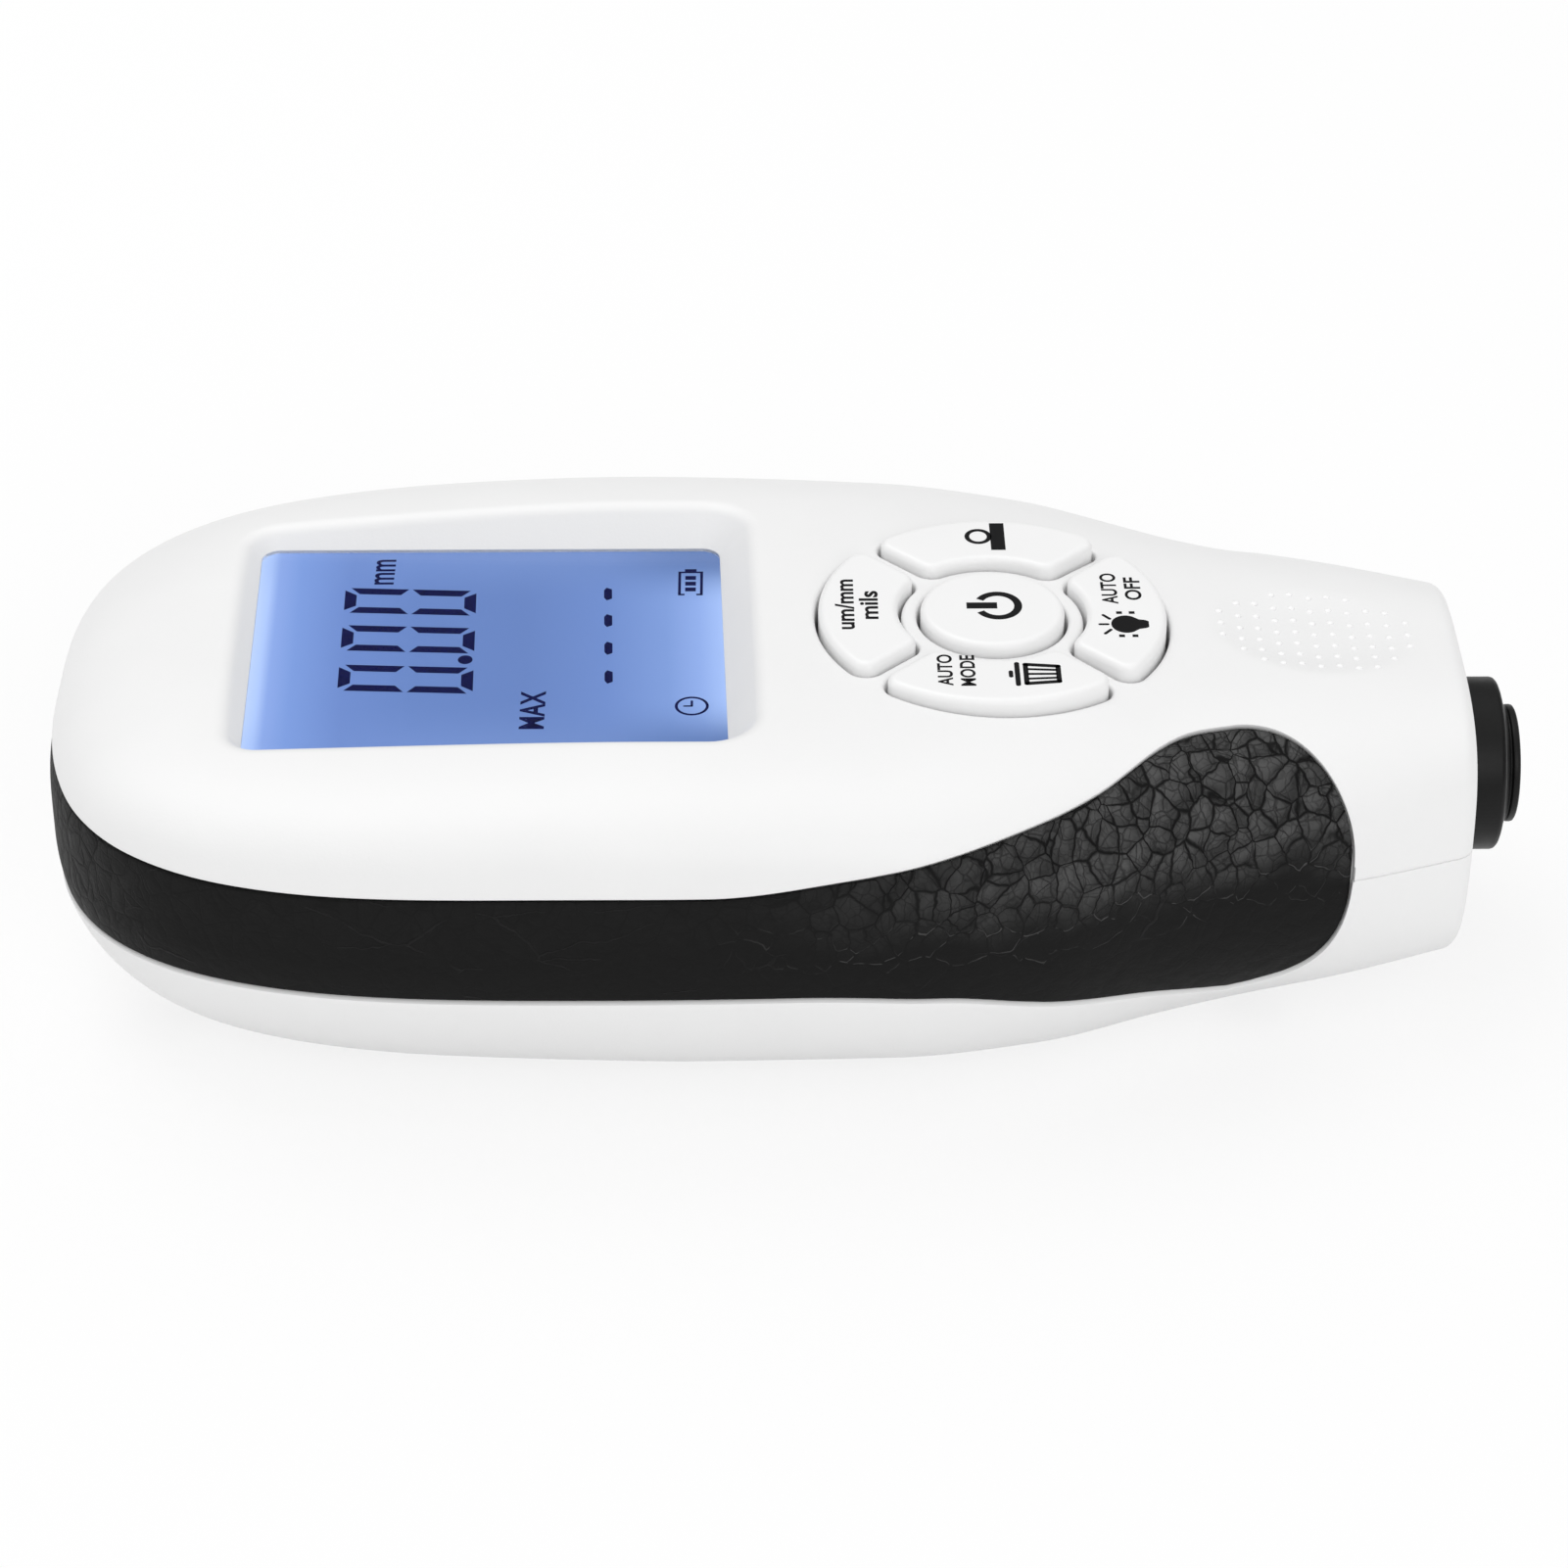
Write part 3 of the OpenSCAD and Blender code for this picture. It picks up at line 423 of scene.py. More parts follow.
def opening(name, line, grow, floor, slope, turn, low):
    """The rounded rim of an opening as a ring of its own, and the block that clears the skin for it."""
    def top(distance):
        return top_height(*widened(line, distance).T)

    d = grow
    for _ in range(25):
        d = grow + slope * (top(d) - floor)
    far, drop = d + turn, turn / math.hypot(1, slope)
    corner_z, far_z = top(d), top(far)
    distances, heights = [grow, grow], [low, floor]
    for t in np.linspace(0, 1, 9):
        distances.append((1 - t) ** 2 * (d - slope * drop) + 2 * t * (1 - t) * d + t * t * far)
        heights.append((1 - t) ** 2 * (corner_z - drop) + 2 * t * (1 - t) * corner_z + t * t * far_z)
    distances += [far + 0.3, far + 0.3]
    heights += [top(far + 0.3) - 0.012, low]
    rows = ring_rows(line, distances, heights)
    rim = looped(name, rows + rows[:1])
    edit(rim, merge, face_out)
    return rim, raised(to_row(ring_rows(line, [far], [BLOCK_LOW])[0]), BLOCK_TALL)


def cut(obj, *tools):
    tool = join(*tools)
    modify(obj, "BOOLEAN", operation="DIFFERENCE", object=tool, solver="EXACT")
    bpy.data.objects.remove(tool)


BLOCK_LOW, BLOCK_TALL = 20.0, 0.014
VIEW_X, VIEW_Y, VIEW_LONG, VIEW_WIDE, VIEW_Z, VIEW_CORNER, VIEW_LEAN = 36.6, 0.4, 39.5, 32.3, 27.3, 1.6, 0.027
VIEW_SLOPE, VIEW_TURN, VIEW_LOW = 0.85, 0.9, 25.6
view_line = rectangle_line(VIEW_X, VIEW_LONG, VIEW_WIDE, VIEW_CORNER, VIEW_Y)
view_line[0][:, 0] -= VIEW_LEAN * (view_line[0][:, 1] - VIEW_Y)
KEYS_X, RING_OUT, RING_IN, POWER_R, CHANNEL, KEY_GAP = 78.706, 14.5, 7.9, 6.0, 1.7, 0.3
KEY_CORNER, WELL_FLOOR, WELL_TURN, WELL_LOW = 1.3, 26.5, 0.42, 25.8
key_lines = {"power_key": circle_line(KEYS_X, POWER_R, KEY_CORNER)}
for key, quarter in (("light_key", 0), ("zero_key", 1), ("unit_key", 2), ("delete_key", 3)):
    key_lines[key] = sector_line(KEYS_X, quarter * math.pi / 2, RING_IN, RING_OUT, CHANNEL, KEY_CORNER)
openings = [opening("display_rim", view_line, VIEW_CORNER, VIEW_Z, VIEW_SLOPE, VIEW_TURN, VIEW_LOW)]
for key, line in key_lines.items():
    openings.append(opening(key + "_well", line, KEY_CORNER + KEY_GAP, WELL_FLOOR, 0, WELL_TURN, WELL_LOW))
rims, blocks = zip(*openings)
cut(front_case, *blocks)
join(front_case, *rims)
smooth(front_case)


class Wire:
    """A socket in a material's nodes; sums and products of wires become Math nodes."""

    def __init__(self, tree, socket):
        self.tree, self.socket = tree, socket

    def node(self, kind, settings, sockets, out=0):
        made = self.tree.nodes.new("ShaderNode" + kind)
        for key, value in settings.items():
            setattr(made, key, value)
        for key, value in sockets.items():
            if isinstance(value, Wire):
                self.tree.links.new(value.socket, made.inputs[key])
            else:
                made.inputs[key].default_value = value
        return Wire(self.tree, made.outputs[out])

    def maths(self, operation, first, second):
        return self.node("Math", {"operation": operation}, {0: first, 1: second})

    def __add__(self, other):
        return self.maths("ADD", self, other)

    def __sub__(self, other):
        return self.maths("SUBTRACT", self, other)

    def __rsub__(self, other):
        return self.maths("SUBTRACT", other, self)

    def __mul__(self, other):
        return self.maths("MULTIPLY", self, other)

    __radd__, __rmul__ = __add__, __mul__

    def above(self, level):
        return self.maths("GREATER_THAN", self, level)

    def part(self, axis):
        return self.node("SeparateXYZ", {}, {0: self}, out=axis)

    def vector(self, operation, value):
        return self.node("VectorMath", {"operation": operation}, {0: self, 1: value})

    def noise(self, scale, detail=2.0, rough=0.5, out=0):
        sockets = {"Vector": self, "Scale": scale, "Detail": detail, "Roughness": rough}
        return self.node("TexNoise", {}, sockets, out)

    def cells(self, scale, feature="DISTANCE_TO_EDGE"):
        return self.node("TexVoronoi", {"feature": feature}, {"Vector": self, "Scale": scale})

    def mixed(self, first, second):
        return self.node("Mix", {"data_type": "RGBA"}, {0: self, 6: first, 7: second}, out=2)

    def eased(self, low, high, start=0.0, end=1.0):
        return self.node("MapRange", {"interpolation_type": "SMOOTHSTEP"}, {0: self, 1: low, 2: high, 3: start, 4: end})

    def ramp(self, *stops):
        """A run of colours; each stop is its place and its colour as it shows on a screen."""
        made = self.node("ValToRGB", {}, {0: self})
        elements = made.socket.node.color_ramp.elements
        for stop in stops[2:]:
            elements.new(stop[0])
        for element, (place, *colour) in zip(elements, stops):
            element.position, element.color = place, rgb(*colour)
        return made

    def bump(self, strength, distance):
        return self.node("Bump", {}, {"Strength": strength, "Distance": distance, "Height": self})


class Finish:
    """A material with its shader's uniform values set, and the place on the piece as a wire."""

    def __init__(self, name, **uniform):
        self.material = bpy.data.materials.new(name)
        self.material.use_nodes = True
        tree = self.material.node_tree
        self.shader = tree.nodes["Principled BSDF"]
        for key, value in uniform.items():
            self.shader.inputs[key.replace("_", " ")].default_value = value
        self.place = Wire(tree, tree.nodes.new("ShaderNodeTexCoord").outputs["Object"])

    def feed(self, **wires):
        for key, wire in wires.items():
            wire.tree.links.new(wire.socket, self.shader.inputs[key.replace("_", " ")])
        return self.material


def rgb(r, g, b):
    """A colour given as it shows on a screen, from 0 to 255."""
    return tuple((c / 255 / 12.92 if c <= 10 else ((c / 255 + 0.055) / 1.055) ** 2.4) for c in (r, g, b)) + (1.0,)


def paint(obj, material):
    obj.data.materials.clear()
    obj.data.materials.append(material)


def moulded(name, pale, dark, rough, grain, rest=0.0):
    """Moulded plastic with the fine texture of its tool, faint flow marks and a duller, rougher thumb rest whose colour
    is darkened a little, a painted shade of its dish.
    """
    finish = Finish(name, Specular_IOR_Level=0.4)
    flow = finish.place.noise(90, 3)
    fine = finish.place.noise(4200, 2, 0.6)
    along, across = finish.place.part(0), finish.place.part(1)
    long_share = (along - (DISH_X + ROW_X) * 0.001) * (1000 / DISH_LONG)
    wide_share = (across - DISH_Y * 0.001) * (1000 / DISH_WIDE)
    # The rest amount darkens the colour in the thumb rest towards grey, a painted shade of the dish, and makes it
    # rougher.
    thumb = (long_share * long_share + wide_share * wide_share).eased(0.7, 1.15, rest, 0.0)
    return finish.feed(Base_Color=thumb.mixed(flow.mixed(dark, pale), rgb(150, 150, 150)),
                       Roughness=flow * 0.1 + thumb + rough,
                       Normal=(fine * 0.6 + finish.place.noise(900, 2) * 0.4).bump(grain, 0.00006))


# Its thumb rest is darkened a little as painted shade of the dish.
case_white = moulded("case_white", rgb(237, 237, 237), rgb(233, 233, 233), 0.4, 0.25, 0.035)
paint(front_case, case_white)
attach(front_case, "housing")
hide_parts("front_shell")

# Back half, moulded in the same white. It has a slot for the cover, a bay for the two cells above it
# and four wells for the screws that hold the halves together.
COVER_HALF, COVER_END, COVER_START, COVER_TOP = 12.0, 66.2, 10.0, 1.6
TONGUE_HALF, SLOT_GAP, SLOT_STEP, SLOT_TOP = 13.0, 0.2, 0.75, 1.95
ROOF_HALF, ROOF_LOW, ROOF_TOP, LINER_LOW, LINER_TOP, WALL_START = 14.4, 1.7, 2.7, 0.2, 2.6, 3
BAY_START, BAY_END, BAY_HALF, BAY_LOW, BAY_TOP, BAY_WALL = 17.2024, 65.6024, 11.0, 1.85, 12.8, 1.3
WELL_CUT, WELL_TUBE, WELL_BORE, SCREW_HOLE, SKIN_DEPTH = 2.62, 3.3, 2.6, 1.4, 0.04
SCREWS = [(9.5, 14), (9.5, -14), (0.852 * LENGTH, 13.2), (0.852 * LENGTH, -13.2)]


def block_between(low, high):
    low, high = to_row(low), to_row(high)
    obj = fresh(bpy.ops.mesh.primitive_cube_add, size=1, location=tuple((low + high) / 2), scale=tuple(high - low))
    bpy.ops.object.transform_apply(location=True, rotation=True, scale=True)
    return obj


def pillar(x, y, radius, low, high, sides=48):
    place = tuple(to_row((x, y, (low + high) / 2)))
    obj = fresh(bpy.ops.mesh.primitive_cylinder_add, vertices=sides, radius=radius * 0.001,
                depth=(high - low) * 0.001, location=place)
    bpy.ops.object.transform_apply(location=True, rotation=True, scale=True)
    return obj


def solid_back(name, depth):
    """The back half as a solid at a depth under its skin, closed along the parting plane."""
    form = laid_sheet(name, case_lines.skin(rear_angle, depth, inward))
    edit(form, merge)
    edit(form, lambda: bpy.ops.mesh.select_all(action="DESELECT"), lambda: bpy.ops.mesh.select_non_manifold(),
         lambda: bpy.ops.mesh.edge_face_add(), pick_all, face_out)
    return form


back_form = solid_back("back_form", rear_depth)
slot_end, slot_half, groove_half = (size + SLOT_GAP for size in (COVER_END, COVER_HALF, TONGUE_HALF))
cut(rear_case, block_between((-1, -slot_half, -1), (slot_end, slot_half, SLOT_TOP)))
cut(rear_case, block_between((-1, -groove_half, SLOT_STEP), (slot_end, groove_half, SLOT_TOP)))
cut(rear_case, *[pillar(x, y, WELL_CUT, -1, 8) for x, y in SCREWS])
bay = block_between((BAY_START - BAY_WALL, -BAY_HALF - BAY_WALL, BAY_LOW),
                    (BAY_END + BAY_WALL, BAY_HALF + BAY_WALL, 14.2))
cut(bay, block_between((BAY_START, -BAY_HALF, 1), (BAY_END, BAY_HALF, BAY_TOP)))
skin_form = solid_back("skin_form", np.full(rear_angle.shape, SKIN_DEPTH))
walls = [block_between((WALL_START, -ROOF_HALF, ROOF_LOW), (COVER_END + 1.6, ROOF_HALF, ROOF_TOP)),
         block_between((WALL_START, -ROOF_HALF, LINER_LOW), (COVER_END + 1, 0.01 - groove_half, LINER_TOP)),
         block_between((WALL_START, groove_half - 0.01, LINER_LOW), (COVER_END + 1, ROOF_HALF, LINER_TOP))]
walls += [pillar(x, y, WELL_TUBE, 0, 12.4) for x, y in SCREWS]
for wall in walls:
    modify(wall, "BOOLEAN", operation="INTERSECT", object=skin_form, solver="EXACT")
    cut(wall, *[pillar(x, y, WELL_BORE, -1, 11) for x, y in SCREWS],
        *[pillar(x, y, SCREW_HOLE, 10.5, 14) for x, y in SCREWS])
cut(walls[0], block_between((BAY_START, -BAY_HALF, 1), (BAY_END, BAY_HALF, 4)))
bpy.data.objects.remove(skin_form)
join(rear_case, bay, *walls)
smooth(rear_case)
paint(rear_case, case_white)
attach(rear_case, "housing")
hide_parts("rear_shell")

# Battery cover, the sliding door in the back, moulded in the same white with raised finger ridges.
# A tongue along each edge runs in a groove of the slot.
RIDGES, RIDGE_AT, RIDGE_STEP, RIDGE_GAP, RIDGE_HALF, RIDGE_DEEP = 6, 46, 2.2, 1.1, 6.5, 0.35
cover = block_between((COVER_START, -COVER_HALF, -1), (COVER_END, COVER_HALF, COVER_TOP))
modify(cover, "BOOLEAN", operation="INTERSECT", object=back_form, solver="EXACT")
bpy.data.objects.remove(back_form)
starts = [RIDGE_AT + RIDGE_STEP * i for i in range(RIDGES)]
cut(cover, *[block_between((x, -RIDGE_HALF, -1), (x + RIDGE_GAP, RIDGE_HALF, RIDGE_DEEP)) for x in starts])
tongues = [block_between((16, side * 12.02, 0.96), (66.1, side * 12.95, 1.58)) for side in (-1, 1)]
join(cover, *tongues)
cover.name = cover.data.name = "sliding_cover"
edit(cover, face_out)
modify(cover, "BEVEL", width=0.00008, segments=2, limit_method="ANGLE", angle_limit=math.radians(50))
smooth(cover)
paint(cover, case_white)
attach(cover, "cover")
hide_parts("battery_cover")

# Grip. One strip of black pebbled leatherette, 0.7 mm thick, stuck in the recess that runs round the
# wide end and out to a rounded paddle on each side. Its grain is pressed in, deeper on the paddles.
GRIP_FACE, GRIP_EDGE, GRIP_GAP = 0.215, 0.5, 0.62
grip_x = np.concatenate([np.arange(31.0, PADDLE_AT - 0.2, 0.42),
                         PADDLE_AT + (PADDLE_REACH - 0.2) * np.sin(np.radians(np.linspace(0, 89, 48)))])
grip_lines = Outline(grip_x, np.linspace(72, -72, 190))
past = 0.2 * (1 - end_share(grip_lines.x))
high, low = (edge - GRIP_GAP * np.clip(edge / 10, 0.03, 1)
             for edge in (grip_top(grip_lines, past), grip_bottom(grip_lines, past)))
t = np.linspace(0, 1, 96)[:, None]
angle = -low + (high + low) * (t - 0.12 * np.sin(2 * np.pi * t) / (2 * np.pi))
from_edge = np.minimum(np.minimum(angle + low, high - angle) * 0.4, np.maximum(PADDLE_END - 0.2 - grip_lines.x, 0))


def pebble(place, strength):
    """Depth of the pressed grain: broad pillows with soft creases between them."""
    p = Vector(place)
    warp = noise.noise_vector(p * 0.22) * 1.3 + noise.noise_vector(p * 0.8) * 0.35
    cells = noise.voronoi(Vector(((p.x + warp.x) * 0.3, (p.y + warp.y) * 0.3, (p.z + warp.z) * 0.25)))[0]
    crease = math.exp(-((cells[1] - cells[0]) / 0.17) ** 2)
    return strength * (0.13 * crease * (0.7 + 0.6 * noise.noise(p * 0.35)) - 0.05 * noise.noise(p * 0.5))


face = grip_lines.skin(angle, np.full(angle.shape, GRIP_FACE))
rounding = np.clip(1 - from_edge / 0.5, 0, 1)
strength = (0.06 + 0.94 * np.clip((grip_lines.x - 58) / 34, 0, 1)) * np.clip(0.55 + angle / 60, 0.25, 1)
grain = np.array([pebble(p, s) for p, s in zip(face.reshape(-1, 3), strength.ravel())]).reshape(angle.shape)
grip_depth = GRIP_FACE + (GRIP_EDGE - GRIP_FACE) * (1 - np.sqrt(1 - rounding ** 2)) + grain * (1 - rounding)
grip = laid_sheet("pebbled_grip", grip_lines.skin(angle, grip_depth))
edit(grip, merge)
modify(grip, "SOLIDIFY", thickness=0.0003, offset=-1, use_rim_only=True)
smooth(grip, 60)

leather = Finish("grip_black", Specular_IOR_Level=0.13)
along, high = leather.place.part(0), leather.place.part(2)
shift = leather.place.noise(260, 3, out=1).vector("MULTIPLY", (0.0019, 0.0019, 0.0019))
bent = shift.vector("ADD", leather.place).vector("MULTIPLY", (1.0, 1.0, 0.8))


def grain_cells(scale, feature="DISTANCE_TO_EDGE", moved=(0, 0, 0)):
    """Distance from the nearest crease, or from the nearest middle, of a net of irregular cells."""
    return bent.vector("ADD", moved).cells(scale, feature)


PEBBLES = 520
# The upper part of the paddles and the wide end are pressed deeper and get the pebbled colour, much lighter than the
# smooth black below. The grain there differs, and the lightness is partly painted light from above, and from the left
# at the wide end.
uneven = high + leather.place.noise(160, 3) * 0.006
upper = uneven.eased(0.0194, 0.0256)
grain_depth_and_painted_light = upper * along.eased(-0.006, 0.03, 0.03) + along.eased(-0.061, -0.05, 0.3, 0.0)
cell = grain_cells(PEBBLES)
crease = cell.eased(0.004, leather.place.noise(350, 2).eased(0.35, 0.65, 0.025, 0.095))
crease = crease * (grain_cells(690, moved=(0.011, 0.023, 0.017)).eased(0.0, 0.055) * 0.5 + 0.5)
crease = crease * (grain_cells(1250).eased(0.0, 0.09) * 0.25 + 0.75)
pillow = cell.eased(0.0, 0.35)
# Each pebble is painted lighter on its upper side and darker on its lower side: painted light falling from above.
from_above, from_below = (grain_cells(PEBBLES, "F1", (-0.0002 * i, 0, 0.0003 * i)) for i in (1, -1))
painted_lit_side = (from_above * from_above - from_below * from_below).eased(-0.34, 0.34)
fold = bent.vector("MULTIPLY", (0.4, 0.4, 1.3)).cells(210)
patch = leather.place.noise(130, 2)
wrinkle = fold.eased(0.004, 0.016, 1.0, 0.0) * patch.eased(0.52, 0.6) * high.eased(0.009, 0.016)
middle = uneven.eased(0.0168, 0.0202)
# Grey lines on the lower rims of the creases, where the rims face up, between the pebbled and the smooth leather: a
# painted highlight, which the bump also raises a little.
level = grain_cells(PEBBLES, moved=(0, 0, 0.00025)).eased(0.045, 0.1)
ridge_with_painted_highlight = cell.eased(0.0, 0.034, 1.0, 0.0) * level * leather.place.noise(480, 2).eased(0.4, 0.53)
ridge_with_painted_highlight = ridge_with_painted_highlight * middle * upper.eased(0.3, 0.75, 1.0, 0.0) * along.eased(-0.01, 0.012)
hide = leather.place.noise(900, 4, 0.65)
smooth_black = (hide * 0.5 + wrinkle * 0.6).mixed(rgb(9, 9, 9), rgb(28, 28, 28))
# The pebbled colour is darker in the creases, partly dirt and partly painted shade, and lighter on the pillow tops,
# partly wear and partly painted highlight.
pebbled = (crease * (hide * 0.6 + pillow * 0.12 + painted_lit_side * 0.34)).mixed(rgb(8, 8, 8), rgb(90, 90, 90))
# The grey on the ridges is a painted highlight; the change from smooth black to the lighter pebbled colour is partly
# painted light from above.
leather_black = leather.feed(
    Base_Color=ridge_with_painted_highlight.mixed(grain_depth_and_painted_light.mixed(smooth_black, pebbled), rgb(76, 76, 76)),
    Roughness=hide * 0.2 + 0.5,
    Normal=(crease * (grain_depth_and_painted_light * 0.7 + 0.03) + pillow * (grain_depth_and_painted_light * 0.8 + 0.04) + hide * 0.22
            + (wrinkle + ridge_with_painted_highlight) * (1 - grain_depth_and_painted_light) * 0.3).bump(0.9, 0.00032))
paint(grip, leather_black)
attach(grip, "housing")
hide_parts("leather_grip")

# Thumb dots, small round pips moulded on the thumb rest in the same white as the case.
# One pip is shaped, flattened and then copied, in rows that step sideways.
PIP, PIP_STEP_X, PIP_STEP_Y, PIP_Y, PIP_LONG, PIP_WIDE = 0.31, 1.57, 1.8, 0.35, 8.4, 6.6
pip = fresh(bpy.ops.mesh.primitive_uv_sphere_add, segments=12, ring_count=8, radius=PIP)
edit(pip, lambda: bpy.ops.mesh.bisect(plane_co=(0, 0, -0.05), plane_no=(0, 0, 1), clear_inner=True, use_fill=True),
     pick_all,
     lambda: bpy.ops.transform.resize(value=(1, 1, 0.5), center_override=(0, 0, 0)))
pip_points = np.array([v.co[:] for v in pip.data.vertices])
pips = []
for i in range(-5, 6):
    for j in range(-4, 5):
        x = DISH_X + i * PIP_STEP_X
        y = PIP_Y + (j + (0.12 if i % 2 else -0.05)) * PIP_STEP_Y - 0.12 * i * 0.2
        if ((x - DISH_X) / PIP_LONG) ** 2 + ((y - PIP_Y) / PIP_WIDE) ** 2 < 1:
            alone(pip)
            bpy.ops.object.duplicate()
            copy = bpy.context.object
            copy.data.vertices.foreach_set("co", to_row(pip_points + (x, y, float(top_height(x, y)) - 0.02)).ravel())
            pips.append(copy)
bpy.data.objects.remove(pip)
thumb_dots = join(*pips)
thumb_dots.name = thumb_dots.data.name = "thumb_dots"
smooth(thumb_dots, 60)
paint(thumb_dots, moulded("pip_white", rgb(244, 244, 244), rgb(241, 241, 241), 0.35, 0.1))
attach(thumb_dots, "housing")

# Keys. Five moulded caps of white plastic with rounded edges that stand 1 mm over the case,
# a round one in the middle and four quarters of a ring. Each stands loose in its own well.
KEY_LOW, KEY_EDGE, KEY_UP = 27.0, 0.62, 0.98


def fill_rim(level):
    """Selects the loop of points at a height and closes it with a face."""
    def step():
        mesh = bpy.context.object
        bpy.ops.object.mode_set(mode="OBJECT")
        for part in (mesh.data.polygons, mesh.data.edges, mesh.data.vertices):
            part.foreach_set("select", [False] * len(part))
        for v in mesh.data.vertices:
            v.select = abs(v.co.z - level * 0.001) < 1e-7
        bpy.ops.object.mode_set(mode="EDIT")
        bpy.ops.mesh.select_mode(type="VERT")
        bpy.ops.mesh.edge_face_add()
        pick_all()
    return step


key_finish = moulded("key_white", rgb(240, 240, 240), rgb(236, 236, 236), 0.33, 0.1)
key_tops = {}
for key, line in key_lines.items():
    inner_edge = {"light_key": RING_IN, "unit_key": -RING_IN}.get(key, 0)
    top = key_tops[key] = float(crown(KEYS_X + inner_edge)) + KEY_UP
    distances, heights = [KEY_CORNER, KEY_CORNER], [KEY_LOW, top - KEY_EDGE]
    for a in np.radians(np.linspace(9, 90, 10)):
        distances.append(KEY_CORNER - KEY_EDGE * (1 - math.cos(a)))
        heights.append(top - KEY_EDGE * (1 - math.sin(a)))
    distances.append(KEY_CORNER - KEY_EDGE - 0.2)
    heights.append(top + 0.001)
    cap = looped(key.replace("_key", "_cap"), ring_rows(line, distances, heights))
    edit(cap, merge, fill_rim(KEY_LOW), fill_rim(top + 0.001), face_out)
    smooth(cap, 40)
    paint(cap, key_finish)
    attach(cap, key.replace("_key", "_button"))
    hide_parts(key)

# Key printing, thin black ink on the caps: a sign or a word for what each key does.
# Everything reads from the near side to the far side.
INK_UP, INK_THICK = 0.003, 0.01
ink = Finish("legend_ink", Specular_IOR_Level=0.08)
speck = ink.place.noise(3000, 2)
legend_ink = ink.feed(Base_Color=speck.mixed(rgb(16, 16, 17), rgb(26, 26, 27)), Roughness=speck * 0.2 + 0.45)


def flat_shape(points):
    """A closed flat outline as a thin printed plate; points are plan places in millimetres."""
    return raised(np.column_stack([points, np.zeros(len(points))]), INK_THICK)


def bar(x0, y0, x1, y1):
    return flat_shape([(x0, y0), (x1, y0), (x1, y1), (x0, y1)])


def stroke(x0, y0, x1, y1, wide):
    """A straight printed line with round ends."""
    half, a = wide / 2, math.atan2(y1 - y0, x1 - x0)
    pts = []
    for x, y, start in ((x1, y1, a - math.pi / 2), (x0, y0, a + math.pi / 2)):
        pts += [(x + half * math.cos(t), y + half * math.sin(t)) for t in np.linspace(start, start + math.pi, 7)]
    return flat_shape(pts)


def hoop(x, y, long, wide, thick, start=0, end=360, steps=40):
    """A printed ring, or a part of one."""
    a = np.radians(np.linspace(start, end, steps))
    outer = [(x + long * math.cos(t), y + wide * math.sin(t)) for t in a]
    inner = [(x + (long - thick) * math.cos(t), y + (wide - thick) * math.sin(t)) for t in a[::-1]]
    if end - start < 360:
        return flat_shape(outer + inner)
    half = steps // 2 + 1
    return join(hoop(x, y, long, wide, thick, 0, 180, half), hoop(x, y, long, wide, thick, 180, 359.99, half))


def words(text, x0, x1, y0, y1, bold):
    """One line of print that fills a box in plan and reads away from the near side."""
    obj = fresh(bpy.ops.object.text_add)
    obj.data.body = text
    obj.data.size = 2
    obj.data.offset = bold
    obj.data.extrude = INK_THICK / 2
    bpy.ops.object.convert(target="MESH")
    obj = bpy.context.object
    pts = np.array([v.co[:] for v in obj.data.vertices])
    low, high = pts.min(0), pts.max(0)
    along = (pts[:, 0] - low[0]) / (high[0] - low[0])
    up = (pts[:, 1] - low[1]) / (high[1] - low[1])
    pts = np.column_stack([x1 - (x1 - x0) * up, y0 + (y1 - y0) * along, pts[:, 2] + INK_THICK / 2])
    obj.data.vertices.foreach_set("co", pts.ravel())
    return obj


def printed(name, shapes, height, body, material):
    obj = join(*shapes)
    obj.name = obj.data.name = name
    pts = np.array([v.co[:] for v in obj.data.vertices])
    obj.data.vertices.foreach_set("co", to_row(pts + (0, 0, height)).ravel())
    obj.data.update()
    edit(obj, face_out)
    paint(obj, material)
    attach(obj, body)
    return obj


power_mark = [hoop(79.16, 0.24, 2.02, 2.2, 0.66, -150, 150), bar(76.55, -0.22, 79.1, 0.74)]
printed("power_mark", power_mark, key_tops["power_key"] + INK_UP, "power_button", legend_ink)
plate_mark = [hoop(78.0, 11.5, 1.15, 1.25, 0.4), bar(79.03, 9.26, 80.26, 13.7)]
printed("plate_mark", plate_mark, key_tops["zero_key"] + INK_UP, "zero_button", legend_ink)
unit_words = [words("um/mm", 65.6, 67.2, -3.54, 4.36, 0.045), words("mils", 67.6, 69.2, -1.96, 2.5, 0.045)]
printed("unit_words", unit_words, key_tops["unit_key"] + INK_UP, "unit_button", legend_ink)
BULB_X, BULB_Y = 89.65, -2.4
bulb = [(91.55, BULB_Y - 0.45), (91.55, BULB_Y + 0.45), (91.3, BULB_Y + 0.62), (90.75, BULB_Y + 0.75)]
bulb += [(BULB_X + 1.22 * math.cos(a), BULB_Y + 1.36 * math.sin(a)) for a in np.radians(np.linspace(62, 298, 24))]
bulb += [(90.75, BULB_Y - 0.75), (91.3, BULB_Y - 0.62)]
light_mark = [flat_shape(bulb), words("AUTO", 87.92, 89.27, 0.84, 5.7, 0.04),
              words("OFF", 89.88, 91.27, 1.44, 5.06, 0.04)]
for x, y in ((89.2, 1.82), (90.25, 1.82), (89.2, -1.82), (90.3, -1.82)):
    light_mark.append(bar(x - 0.24, BULB_Y + y - 0.2, x + 0.24, BULB_Y + y + 0.2))
